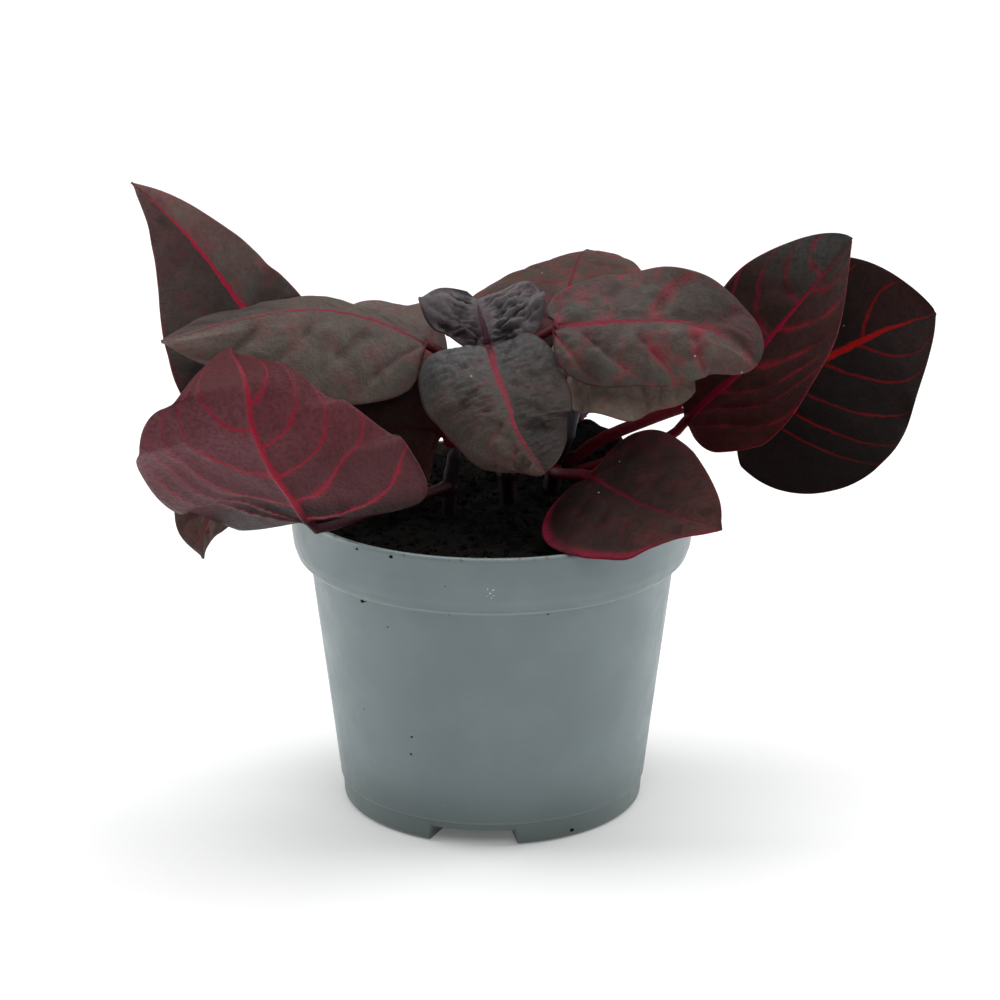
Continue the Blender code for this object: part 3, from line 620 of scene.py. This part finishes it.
def leaf_grid(stem, seat, stalk, midrib, face, width, fold=(0, 0), fold_tip=None, curl=(0, 0),
              base=(0.5, 0.5), tip=(0.95, 0.95), lobe=(0, 0), wave=1.0, stalk_radius=1.2,
              vein_starts=VEIN_STARTS, vein_ends=VEIN_ENDS, vein_bend=(1.4, 1.4), quilt=0.5, pucker=0.3,
              wrinkle=0.0, ragged=0.6, seed=1):
    """Points of a leaf's upper and lower faces, rows along it by columns across, and their places on it.

    The half width grows as (share along) ** base and shrinks as (share left) ** tip. Each half leaves the
    midrib at its fold, which becomes fold_tip, and turns on by its curl. A lobe sets the margin back by
    lobe * (share across) ** 2 * (share left) ** 4. Between veins the blade swells by quilt * |sin(pi * vein
    number)|, and all over by random puckers and by finer wrinkles near the stalk, whose valleys are sharp.
    The margin rises and falls by up to ragged. Pairs of values are for the left and the right half.
    """
    seat_points = stem_seat(stem, seat, (stalk + midrib)[0], stalk_radius)
    curve, length, knots = smooth_path([*seat_points, *stalk, *midrib])
    start, blade_length = knots[2 + len(stalk)], length[-1] - knots[2 + len(stalk)]
    # Rows lie closer towards both ends of the blade
    even = np.linspace(0, 1, BLADE_ROWS + 1)
    rows = 0.75 * (0.5 - 0.5 * np.cos(math.pi * even)) + 0.25 * even
    places = np.append(np.linspace(0, start, STALK_ROWS, endpoint=False), start + blade_length * rows)
    along = np.clip((places - start) / blade_length, 0, 1)[:, None]
    middle = read_curve(places, length, curve)[:, None]
    slope = unit(read_curve(places, length, np.gradient(curve, length, axis=0)))
    side = unit(np.cross(slope, np.asarray(face[0]) * (1 - along) + np.asarray(face[1]) * along))
    up = np.cross(side, slope)[:, None]
    rib = stalk_radius * (1 - 0.75 * along) * (1 + 0.3 * np.exp(-((places[:, None] / 1.6) ** 2)))

    steps = np.linspace(0, 1, HALF_COLUMNS + 1) ** 1.2
    signed = np.concatenate([-steps[:0:-1], steps])
    half, across = (signed >= 0).astype(int), np.abs(signed)
    pairs = (base, tip, width, fold, curl, lobe, fold_tip or fold)
    base, tip, width, fold, curl, lobe, fold_tip = (np.asarray(pair, float)[half] for pair in pairs)
    widest = base / (base + tip)
    shape = along**base * (1 - along) ** tip / (widest**base * (1 - widest) ** tip)
    half_width = np.maximum(width * shape, rib)
    blade = np.clip(half_width / (3 * rib) - 0.33, 0, 1)
    bend = (np.arange(32) + 0.5) / 32
    first = fold + (fold_tip - fold) * along
    angle = np.radians(first[:, :, None] + (curl * across)[None, :, None] * bend)
    out = half_width * (across * np.cos(angle).mean(axis=2) * blade + across * (1 - blade))
    rise = half_width * across * np.sin(angle).mean(axis=2)
    rise += wave * across**2 * np.sin(2 * math.pi * MARGIN_WAVES * along + 2.3 * half)
    back = blade * lobe * across**2 * (1 - along) ** 4 * np.clip(along / LOBE_FAN, 0, 1) ** base
    outward = side[:, None] * np.where(signed < 0, -1, 1)[:, None]
    tilt = (blade * np.radians(first + curl * across))[:, :, None]
    normal = up * np.cos(tilt) - outward * np.sin(tilt)

    mm_across, mm_along = half_width * signed, places[:, None] - start + 0 * signed
    vein = [vein_number(along, across, vein_starts[k], vein_ends[k], vein_bend[k]) for k in (0, 1)]
    here = np.where(half == 1, vein[1], vein[0])
    vein_gap = blade_length / np.clip(np.gradient(here, places / blade_length, axis=0), 2.5, 60)
    inner = np.clip(across / 0.22, 0, 1) ** 2 * (1 - across**4) * np.clip(8 * (1 - along), 0, 1) * blade
    swell = quilt * (np.abs(np.sin(math.pi * here)) ** 0.7 - 0.5)
    large, small = (lumps(mm_across, mm_along, PUCKER_CELLS[k], seed + k) for k in (0, 1))
    swell = swell + pucker * (large + 0.7 * small)
    long_folds = np.abs(lumps(mm_across, 1.6 * mm_along, WRINKLE_CELLS[0], seed + 5))
    short_folds = np.abs(lumps(mm_across, mm_along, WRINKLE_CELLS[1], seed + 6))
    swell = swell + wrinkle * (long_folds + 0.6 * short_folds - 0.5) * (1 - 0.7 * along)
    # The two margins read the same lumps some millimetres apart, so that they differ
    edge = ragged * across**3 * lumps(mm_across * 0 + 9.7 * half, mm_along, MARGIN_CELL, seed + 2) * blade
    groove = -GROOVE_DEPTH * np.exp(-((mm_across / GROOVE_HALF) ** 2)) * blade * (1 - along)
    relief = inner * swell + edge + groove

    skin = middle + outward * out[:, :, None] + up * (blade * rise)[:, :, None]
    skin = skin - slope[:, None] * back[:, :, None] + normal * relief[:, :, None]
    round_under = np.sqrt(np.maximum(rib**2 - (0.93 * half_width * across) ** 2, 0))
    below = np.maximum(LEAF_THICKNESS / 2, round_under)
    above = np.maximum(LEAF_THICKNESS / 2, (1 - blade) * round_under)
    upper, lower = skin + normal * above[:, :, None], skin - normal * below[:, :, None]
    places_on_blade = {"along": along, "gap": vein_gap, "hollow": -inner * swell}
    return upper, lower, vein, across + 0 * along, mm_across, mm_along, places_on_blade


def add_leaf(name, finish, **shape):
    """A closed leaf: rings of upper then lower points, with two UV maps and four attributes for its finish.

    UV map "veins" holds the vein number and the share across, and UV map "size" holds millimetres across and
    along. Attribute "underside" is 1 below, "along" is the share of the blade's length, "gap" is the
    millimetres from vein to vein, and "hollow" is how many millimetres the skin lies below its mean.
    """
    upper, lower, vein, share, mm_across, mm_along, places_on_blade = leaf_grid(**shape)
    rows, columns = share.shape
    sides = 2 * columns
    rings = np.concatenate([upper, lower[:, ::-1]], axis=1)
    quads = ring_faces(rows, sides)
    k = np.arange(columns - 1)
    cap = np.stack([sides - 1 - k, sides - 2 - k, k + 1, k], axis=1)
    end = (rows - 1) * sides + np.stack([k, k + 1, sides - 2 - k, sides - 1 - k], axis=1)
    faces = np.concatenate([quads, cap, end])
    leaf = add_piece(name + "_blade", rings.reshape(-1, 3) / 1000, faces.tolist(), finish)
    column_of_side = np.concatenate([np.arange(columns), np.arange(columns)[::-1]])
    row, turn = quads // sides, quads % sides
    column = column_of_side[turn]
    right_half = column.min(axis=1, keepdims=True) >= (columns - 1) // 2
    numbers = np.where(right_half, vein[1][row, column], vein[0][row, column])
    for title, values in (("veins", (numbers, share[row, column])),
                          ("size", (mm_across[row, column], mm_along[row, column]))):
        corners = np.zeros((4 * len(faces), 2), np.float32)
        corners[: 4 * len(quads)] = np.stack([value.ravel() for value in values], axis=1)
        leaf.data.uv_layers.new(name=title).data.foreach_set("uv", corners.ravel())
    layers = {"underside": np.broadcast_to(np.arange(sides) >= columns, (rows, sides))}
    for title, values in places_on_blade.items():
        layers[title] = (values + 0 * share)[:, column_of_side]
    for title, values in layers.items():
        layer = leaf.data.attributes.new(title, "FLOAT", "POINT")
        layer.data.foreach_set("value", values.astype(np.float32).ravel())
    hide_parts(name)


# Reds of the leaves, as a screen shows them
crimson = (150, 20, 50)
dull_crimson = (114, 14, 40)
wine = (70, 28, 38)
stalk_red = (72, 8, 20)
WHITE = (1.0, 1.0, 1.0, 1.0)
# Shares of a leaf's own red, green and blue in its greenish blotches and at the far end of its underside
GREEN_GREY = (1.1, 1.7, 1.6)
REDDER = (0.45, 0.22, 0.22)


def scaled(colour, share):
    """The colour times the share, or its red, green and blue times one share each."""
    return (*(np.array(colour[:3]) * share).tolist(), 1.0)


def leaf_finish(name, near, middle, far, midrib=dull_crimson, vein=crimson, under=wine, under_vein=crimson,
                midrib_mm=1.4, vein_mm=0.5, vein_share=0.5, flush_mm=3.0, flush=0.4, blush=0.2,
                edge=(0.15, 0.15), edge_share=0.96, shine=0.2, tone_and_light=(1.0, 1.0), tip_tone_and_light=(1.0, 1.0),
                crease=0.55, near_reach=(0.0, 0.45), stalk=stalk_red):
    """Skin of a leaf: near, middle and far are its upper colours from stalk to tip, and red veins cross it.

    A side vein is a line vein_mm wide, broken in places, in a soft flush flush_mm wide. blush is how far the
    blade is blotched with the veins' red and with green grey, and crease how dark its valleys are painted, as
    shade. edge is how red the left and the right margin are. tone is how light each half is, partly its own
    colour and partly painted light and shade, and towards the tip it is multiplied by tip_tone_and_light,
    which is partly painted light and shade as well. near passes into middle over near_reach. Colours are a
    screen's, from 0 to 255.
    """
    near, middle, far, midrib, vein, under, under_vein, stalk = (
        screen(*shade) for shade in (near, middle, far, midrib, vein, under, under_vein, stalk))
    material, shader, spot = new_material(name)
    place = wire("ShaderNodeVectorMath", {0: spot, 3: 1000.0}, operation="SCALE").outputs[0]
    numbers, size = (wire("ShaderNodeUVMap", {}, shader.id_data, uv_map=title).outputs[0]
                     for title in ("veins", "size"))
    along, below, gap, hollow = (
        wire("ShaderNodeAttribute", {}, shader.id_data, attribute_name=title).outputs["Fac"]
        for title in ("along", "underside", "gap", "hollow"))
    number, share, _ = wire("ShaderNodeSeparateXYZ", {0: numbers}).outputs
    signed = wire("ShaderNodeSeparateXYZ", {0: size}).outputs[0]

    # Millimetres from the nearest side vein and from the midrib, with a slight wander
    wander = calc("SUBTRACT", clouds(place, 0.3, 3.0), 0.5)
    wavy = calc("ADD", number, times(wander, 0.12))
    reach = calc("SUBTRACT", 1.0, times(share, 0.6))
    off_vein = calc("DIVIDE", times(calc("PINGPONG", wavy, 0.5), gap), reach)
    thin = ramp(off_vein, 0.25 * vein_mm, 0.75 * vein_mm, 1.0, 0.0)
    wide = ramp(off_vein, 0.0, flush_mm / 2, 1.0, 0.0)
    off_midrib = calc("ABSOLUTE", calc("ADD", signed, times(wander, 1.2)))
    rib_half = times(calc("SUBTRACT", 1.1, along), midrib_mm / 2)
    rib = ramp(calc("DIVIDE", off_midrib, rib_half), 0.55, 1.25, 1.0, 0.0)
    rib = calc("MAXIMUM", rib, ramp(along, 0.002, 0.02, 1.0, 0.0))
    cells = wire("ShaderNodeTexVoronoi", {"Vector": place, "Scale": 0.55}, feature="DISTANCE_TO_EDGE")
    net = ramp(cells.outputs[0], 0.0, 0.1, 1.0, 0.0)
    blotch = clouds(place, 0.13, 3.0, 0.6)
    mottle = clouds(place, 0.8, 5.0, 0.7)

    spread = times(wide, ramp(blotch, 0.42, 0.62, 0.1, 1.0))
    broken = ramp(clouds(place, 0.22, 2.0), 0.4, 0.58, vein_share, 1.0)
    seen = times(times(thin, broken), ramp(share, 0.7, 1.0, vein_share, 0.0))
    side_red = tint(calc("GREATER_THAN", signed, 0.0), *(scaled(WHITE, red) for red in edge))
    margin = times(ramp(share, edge_share, 1.0), ramp(blotch, 0.35, 0.55, 0.4, 1.0))
    top = painted(near, [
        (ramp(along, *near_reach), middle),
        (ramp(along, 0.55, 1.0), far),
        (ramp(mottle, 0.4, 0.7, 0.0, 0.45), scaled(middle, 0.45)),
        (ramp(clouds(place, 0.35, 3.0), 0.5, 0.75, 0.0, 0.25), scaled(middle, 1.5)),
        (ramp(clouds(place, 0.15, 2.0), 0.46, 0.66, 0.0, 2 * blush), scaled(middle, GREEN_GREY)),
        (ramp(clouds(place, 0.19, 2.0), 0.5, 0.7, 0.0, blush), vein),
        (times(spread, flush), vein),
        (seen, vein),
        (times(net, 0.04 * vein_share), vein),
        # Painted shade darkens the valleys between puckers, as far as crease
        (ramp(hollow, 0.0, 0.45, 0.0, crease), scaled(middle, 0.35)),
        (times(margin, side_red), vein),
    ])
    # Halves lighter or darker by tone and tip_tone_and_light: partly the leaf's own colour, partly painted
    # light and shade
    at_stalk = [scaled(WHITE, shade) for shade in tone_and_light]
    at_tip = [scaled(shade, more) for shade, more in zip(at_stalk, tip_tone_and_light)]
    right_half = ramp(signed, -1.0, 1.0)
    half_tone_and_light = tint(ramp(along, 0.3, 0.8), tint(right_half, *at_stalk), tint(right_half, *at_tip))
    top = tint(1.0, top, half_tone_and_light, "MULTIPLY")
    rib_red = tint(ramp(along, 0.0, 0.12), stalk, midrib)
    top = tint(times(rib, ramp(along, 0.75, 1.0, 0.95, 0.35)), top, rib_red)

    # The underside is darkened by painted shade towards the stalk and turns a darker red towards the tip. In
    # the fold at the stalk painted shade makes it nearly black
    low = painted(under, [
        (ramp(mottle, 0.35, 0.7), scaled(under, 0.62)),
        (ramp(along, 0.15, 0.4, 0.65, 0.0), scaled(under, 0.4)),
        (ramp(along, 0.52, 0.7, 0.0, 0.75), scaled(under, REDDER)),
    ])
    low = tint(1.0, low, half_tone_and_light, "MULTIPLY")
    low = painted(low, [
        (ramp(along, 0.05, 0.13, 0.9, 0.0), scaled(under, 0.08)),
        (times(spread, 0.6), under_vein),
        (times(thin, 0.9), under_vein),
        (times(net, 0.06), under_vein),
        (times(rib, ramp(along, 0.5, 0.85, 1.0, 0.3)),
         tint(ramp(along, 0.0, 0.12), stalk, under_vein)),
    ])
    dust = flecks(place, 0.16, 0.05, 0.35)
    colour = tint(times(dust, 0.8), tint(below, top, low), screen(190, 165, 165))
    relief = calc("SUBTRACT", clouds(place, 1.1, 5.0, 0.65), times(net, 0.12))
    feed(shader, {"Base Color": colour, "Roughness": ramp(mottle, 0.25, 0.75, 0.38, 0.55),
                  "Specular IOR Level": shine, "Normal": raised(relief, 0.7, 0.0004)})
    return material


# Grown leaves are grey over red, and the right one is flushed with it. The young leaf is bluish, and so is
# the front one near its stalk, in both partly as a painted sheen
right_skin = leaf_finish("leaf_skin_right", (71, 59, 57), (74, 62, 57), (77, 57, 54), midrib_mm=1.8,
                         vein_share=0.04, flush_mm=9.0, flush=0.6, blush=0.25, tone_and_light=(0.92, 0.93),
                         tip_tone_and_light=((0.51, 0.43, 0.42), 1.2))
left_skin = leaf_finish("leaf_skin_left", (78, 68, 62), (84, 72, 66), (104, 84, 79), midrib_mm=1.2,
                        vein_share=0.06, flush_mm=4.0, flush=0.1, blush=0.1, tone_and_light=(1.0, 0.9),
                        tip_tone_and_light=(1.1, 0.5))
young_skin = leaf_finish("leaf_skin_young", (47, 37, 42), (77, 72, 74), (104, 95, 98), (58, 8, 34),
                         (74, 14, 44), (70, 34, 56), (110, 30, 60), midrib_mm=2.4, vein_share=0.3,
                         flush_mm=1.6, flush=0.3, blush=0.1, edge=(0.3, 0.3),
                         tone_and_light=((0.68, 0.55, 0.58), 1.5), tip_tone_and_light=((1.47, 1.8, 1.7), 0.72), crease=0.98)
front_skin = leaf_finish("leaf_skin_front", (75, 76, 77), (58, 49, 44), (68, 52, 47), (116, 20, 42),
                         midrib_mm=2.3, vein_share=0.03, flush=0.08, blush=0.05, tone_and_light=(0.82, 1.18),
                         tip_tone_and_light=((0.38, 0.31, 0.31), 1.25), crease=0.8)
# Older leaves are brown or smoky, and darker towards the stalk, partly with painted shade
smoky_skin = leaf_finish("leaf_skin_smoky", (24, 14, 14), (76, 64, 60), (97, 66, 65), (190, 26, 66),
                         midrib_mm=3.0, vein_share=0.0, flush=0.04, blush=0.12, edge=(0.5, 0.1),
                         tone_and_light=(0.86, 1.8), tip_tone_and_light=(1.0, 0.92), near_reach=(0.42, 0.64))
dusky_skin = leaf_finish("leaf_skin_dusky", (50, 20, 22), (84, 72, 66), (104, 84, 79), vein_share=0.06,
                         flush_mm=4.0, flush=0.1, blush=0.1, near_reach=(0.16, 0.42))
brown_skin = leaf_finish("leaf_skin_brown", (60, 41, 37), (68, 53, 47), (82, 68, 63), (92, 14, 36),
                         vein_share=0.15, flush_mm=5.0, flush=0.2, blush=0.15, shine=0.12)

# The top pair and the young leaf, then the pair under them, then older leaves
add_leaf("leaf_crown", young_skin, stem="stem_centre", seat=117.5, stalk=[],
         midrib=[(-1, 2.2, 120), (-1.5, 4, 123.5), (-3, 9, 127.5), (-4, 16, 130.5)],
         face=[(0, -0.6, 0.8), (0, -0.6, 0.8)], width=(17.5, 18), fold=(27, 22), base=(0.6, 0.4),
         tip=(0.4, 0.4), stalk_radius=0.8, wave=1.5, quilt=0.8, pucker=1, wrinkle=2.2, seed=21)
add_leaf("leaf_front_centre", front_skin, stem="stem_centre", seat=118, stalk=[],
         midrib=[(-1, -5, 123), (1, -13, 119), (4, -22, 113), (6, -28, 108), (10, -33, 103), (13, -36, 99)],
         face=[(0, -0.3, 1), (0, -1, 0.4)], width=(17, 21), fold=(10, 25), fold_tip=(-5, -30),
         curl=(-20, -55), base=(0.3, 0.24), tip=(0.5, 0.7), lobe=(6, 2), stalk_radius=1, quilt=0.4,
         pucker=0.5, wrinkle=0.9, seed=31)
add_leaf("leaf_left", left_skin, stem="stem_centre", seat=113, stalk=[(-9, -2, 118)],
         midrib=[(-17, -4, 124), (-30, -7, 131), (-45, -12, 135), (-62, -17, 134), (-83, -21, 129)],
         face=[(0, -0.7, 1), (0, -0.8, 0.8)], width=(23.5, 13.2), fold=(-8, -22), curl=(-25, -35),
         base=(0.36, 0.25), tip=(0.8, 0.55), lobe=(3, 1),
         vein_starts=((0.0, 0.22, 0.42, 0.64), (0.1, 0.32, 0.56, 0.78)),
         vein_ends=((0.3, 0.56, 0.78, 0.94), (0.34, 0.56, 0.76, 0.92)), quilt=1, pucker=0.3, ragged=0.4,
         seed=41)
add_leaf("leaf_right", right_skin, stem="stem_centre", seat=114, stalk=[(9, 2, 121)],
         midrib=[(16, -4, 128), (27, -6, 130), (38, -8, 131), (49, -10, 131), (60, -13, 127.5),
                 (67, -16, 121.5)], face=[(0, -0.6, 1), (0.2, -0.7, 0.8)], width=(16.5, 18), fold=(5, -10),
         curl=(0, -30), base=(0.5, 0.32), tip=(0.65, 0.5), lobe=(5, 2), wave=0.8,
         vein_starts=((0.0, 0.24, 0.46, 0.72), (-0.05, 0.1, 0.36, 0.66)),
         vein_ends=((0.12, 0.32, 0.6, 0.85), (0.22, 0.48, 0.66, 0.84)), quilt=0.9, pucker=0.4, wrinkle=0.4,
         seed=51)
add_leaf("leaf_far_left", smoky_skin, stem="stem_centre", seat=98, stalk=[(-14, 10, 96)],
         midrib=[(-30, 10, 94), (-43, 11, 104), (-55, 13, 116), (-66, 16, 130), (-75, 18, 142),
                 (-84, 20, 152), (-94, 24, 160)], face=[(-0.3, -1, 0.6), (-0.2, -1, 0.3)], width=(30, 16),
         fold=(10, 20), curl=(20, 0), tip=(1.22, 0.95), quilt=0.3, seed=61)
add_leaf("leaf_back_left", dusky_skin, stem="stem_centre", seat=105, stalk=[(-6, 8, 108)],
         midrib=[(-11, 13, 112), (-20, 21, 118), (-30, 31, 120.6), (-40, 43, 119.2), (-46, 50, 115.5)],
         face=[(-0.1, -0.2, 1), (-0.4, 0.4, 1)], width=(16, 14), fold=(5, 5), base=(0.4, 1.1), seed=71)
add_leaf("leaf_low_back", brown_skin, stem="stem_centre", seat=94, stalk=[(5, 11, 100)],
         midrib=[(8, 16, 105), (12, 28, 113), (14, 42, 114), (15, 56, 107)], face=[(0, 0, 1), (0, 0.6, 1)],
         width=(15, 14), fold=(8, 8), seed=81)


# Leaves of the right shoot
# Five that show and one behind, two of them carried far out past the rim on long stalks. The outer of those
# is almost black, with its veins painted fiery red for light shining through them, and the lowest leaf in
# front has a magenta margin.

# Reds of the black leaf's veins, painted as light shining through them
lit_through_fiery_red = (132, 10, 12)
lit_through_deep_red = (100, 5, 14)
# Painted light: a lighter copy of the brown skin, for the leaf that lies in the shadow under the right leaf
lit_brown_skin = leaf_finish("leaf_skin_brown_painted_light", (118, 97, 88), (126, 110, 99), (128, 104, 96), vein_share=0.06,
                         flush_mm=5.0, flush=0.1, blush=0.1, shine=0.12)
shade_skin = leaf_finish("leaf_skin_shade", (22, 11, 10), (42, 27, 24), (66, 39, 37), (74, 8, 26),
                         (126, 16, 48), vein_share=0.05, flush=0.08, blush=0.08, edge=(0.1, 0.8),
                         edge_share=0.82, shine=0.05, tone_and_light=(0.93, 0.88), tip_tone_and_light=(1.2, 1.5))
red_skin = leaf_finish("leaf_skin_red", (50, 11, 13), (40, 26, 24), (60, 56, 55), (116, 12, 40),
                       (124, 12, 38), midrib_mm=2.6, vein_mm=1.0, vein_share=0.45, flush_mm=6.0, flush=0.5,
                       blush=0.05, edge=(0.3, 0.3), shine=0.05,
                       tone_and_light=((1.25, 1.5, 1.45), (0.9, 0.44, 0.44)), tip_tone_and_light=(1.0, (1.15, 1.7, 1.7)))
black_skin = leaf_finish("leaf_skin_black", (18, 14, 12), (21, 18, 17), (41, 31, 31), lit_through_fiery_red, lit_through_deep_red,
                         (70, 26, 36), lit_through_deep_red, midrib_mm=3.4, vein_mm=1.0, vein_share=0.7, flush_mm=2.6,
                         flush=0.25, blush=0.02, edge=(0.05, 0.05), shine=0.04, tone_and_light=(1.0, 1.08),
                         tip_tone_and_light=((1.35, 1.0, 0.95), 1.1))

add_leaf("leaf_under_right", lit_brown_skin, stem="stem_right", seat=106, stalk=[],
         midrib=[(19, 3, 113), (25, 2, 117), (34, -1, 117.5), (44, -3, 115), (52, -7, 112)],
         face=[(0, -0.6, 1), (0, -0.8, 0.8)], width=(14, 16.8), curl=(0, -8), base=(0.4, 0.3), tip=(0.8, 0.5),
         lobe=(2, 4), seed=91)
add_leaf("leaf_back_right", brown_skin, stem="stem_right", seat=111, stalk=[(19, 17, 116)],
         midrib=[(18, 20, 121), (19, 24, 127), (21, 32, 132), (24, 44, 136), (27, 56, 134)],
         face=[(0, -1, 0.5), (0, 0.2, 1)], width=(30, 24), fold=(-12, -5), curl=(-27, -20), base=(0.35, 0.5),
         tip=(0.7, 0.7), lobe=(6, 0), seed=101)
add_leaf("leaf_far_right", red_skin, stem="stem_right", seat=85, stalk=[(34, 2, 92), (46, 0, 98)],
         midrib=[(50, 0, 102), (58, 2, 109), (66, 3, 116), (75, 5, 127), (85, 9, 138), (93, 12, 148)],
         face=[(-0.6, -1, 0.5), (-0.3, -1, 0.4)], width=(17.5, 25), fold=(15, 25), base=(0.8, 0.35),
         tip=(0.68, 1.0), lobe=(0, 3),
         vein_starts=((0.3, 0.48, 0.66, 0.8), (-0.1, 0.05, 0.18, 0.33, 0.52, 0.72)),
         vein_ends=((0.62, 0.8, 0.9, 0.97), (0.35, 0.52, 0.6, 0.68, 0.8, 0.92)), vein_bend=(2.0, 1.2),
         seed=111)
add_leaf("leaf_dark_right", black_skin, stem="stem_right", seat=88,
         stalk=[(28, 13, 93), (39, 16, 97), (52, 22, 100)],
         midrib=[(66, 27, 102), (78, 29, 106), (90, 31, 111), (104, 34, 117), (119, 38, 121)],
         face=[(-0.2, -1, 0.3), (0, -1, 0.3)], width=(28.5, 34), fold=(5, 5), curl=(10, 10), base=(0.6, 0.4),
         tip=(0.84, 0.86), lobe=(0, 10), stalk_radius=1.6,
         vein_starts=((0.2, 0.4, 0.62), (-0.1, 0.05, 0.18, 0.4, 0.58)),
         vein_ends=((0.6, 0.75, 0.9), (0.45, 0.54, 0.7, 0.88, 1.02)), vein_bend=(1.0, 1.0), quilt=0.3,
         pucker=0.2, seed=121)
add_leaf("leaf_front_right", shade_skin, stem="stem_right", seat=86, stalk=[(18, -7, 90)],
         midrib=[(25, -19, 93), (31, -28, 92), (38, -37, 91), (46, -46, 91), (56, -56, 91)],
         face=[(-0.4, -0.35, 0.85), (-0.4, -0.35, 0.85)], width=(20.5, 24.5), fold=(7, 9), base=(0.3, 0.5),
         tip=(0.75, 1.0), stalk_radius=1.4, seed=131)
add_leaf("leaf_low_back_right", brown_skin, stem="stem_right", seat=100, stalk=[(28, 18, 104)],
         midrib=[(34, 24, 107), (42, 34, 110), (51, 46, 110), (59, 58, 105)], face=[(0, 0, 1), (0.4, 0.4, 1)],
         width=(13, 17), fold=(10, 10), seed=141)


# Leaves of the left shoot
# A large leaf stands up from a low stalk and turns its wine-red underside, with bright veins, to the front.
# A brown leaf hangs over the rim behind it, and a small dark one lies in the shade between the shoots.

# The big leaf's stalk is painted nearly black-red, as shade
wine_skin = leaf_finish("leaf_skin_wine", (60, 44, 44), (60, 44, 44), (60, 44, 44), crimson, crimson,
                        (98, 50, 56), (140, 22, 46), midrib_mm=2.4, vein_mm=0.8, flush_mm=4.0, shine=0.12,
                        tone_and_light=(1.0, (1.1, 1.3, 1.3)), stalk=(44, 12, 18))
# A darker copy for the leaf in the shade between the shoots, its colours painted darker as shade
painted_shade_skin = leaf_finish("leaf_skin_painted_shade", (50, 22, 20), (26, 15, 13), (20, 11, 11), (38, 8, 12),
                          (60, 12, 20), vein_share=0.05, flush=0.05, blush=0.05, shine=0.05,
                          tone_and_light=(1.08, 1.35))

add_leaf("leaf_front_left", wine_skin, stem="stem_left", seat=87,
         stalk=[(-24, -26, 88), (-42.5, -43.5, 87.2)],
         midrib=[(-45.5, -47, 90.5), (-49.5, -51, 98.5), (-54, -53.5, 106.5), (-58, -56, 118),
                 (-60, -51, 128), (-64, -36.5, 130), (-65, -28.5, 129.5)],
         face=[(0.3, 0.7, 0.6), (-0.2, 0.3, -1)], width=(40, 43), fold=(-6, 8), curl=(9, 12),
         base=(0.3, 0.31), tip=(1.87, 1.38), lobe=(-4, 18),
         vein_starts=((0.02, 0.12, 0.24, 0.38, 0.55), (-0.15, -0.04, 0.08, 0.25, 0.45)),
         vein_ends=((0.2, 0.42, 0.58, 0.72, 0.88), (0.42, 0.58, 0.72, 0.84, 0.94)), vein_bend=(1.6, 1.7),
         quilt=1, pucker=0.2, ragged=0.1, wave=0.2, seed=151)
add_leaf("leaf_low_left", brown_skin, stem="stem_left", seat=85, stalk=[(-26, -6, 90)],
         midrib=[(-41, -6, 92), (-56, -8, 92), (-68, -11, 86), (-73.5, -14, 78), (-74.5, -16, 70)],
         face=[(0, -0.3, 1), (-0.5, -0.85, 0.1)], width=(13, 19), fold=(10, 10), tip=(1.1, 0.9), seed=161)
add_leaf("leaf_shaded", painted_shade_skin, stem="stem_left", seat=98, stalk=[],
         midrib=[(-13, -7, 101), (-20, -10, 103), (-30, -13, 104), (-38, -16, 103)],
         face=[(0.2, -1, 0.3), (0.1, -1, 0.3)], width=(17, 14), fold=(5, 5), base=(0.4, 0.4), tip=(0.6, 0.6),
         lobe=(0, 4), stalk_radius=0.8, seed=171)
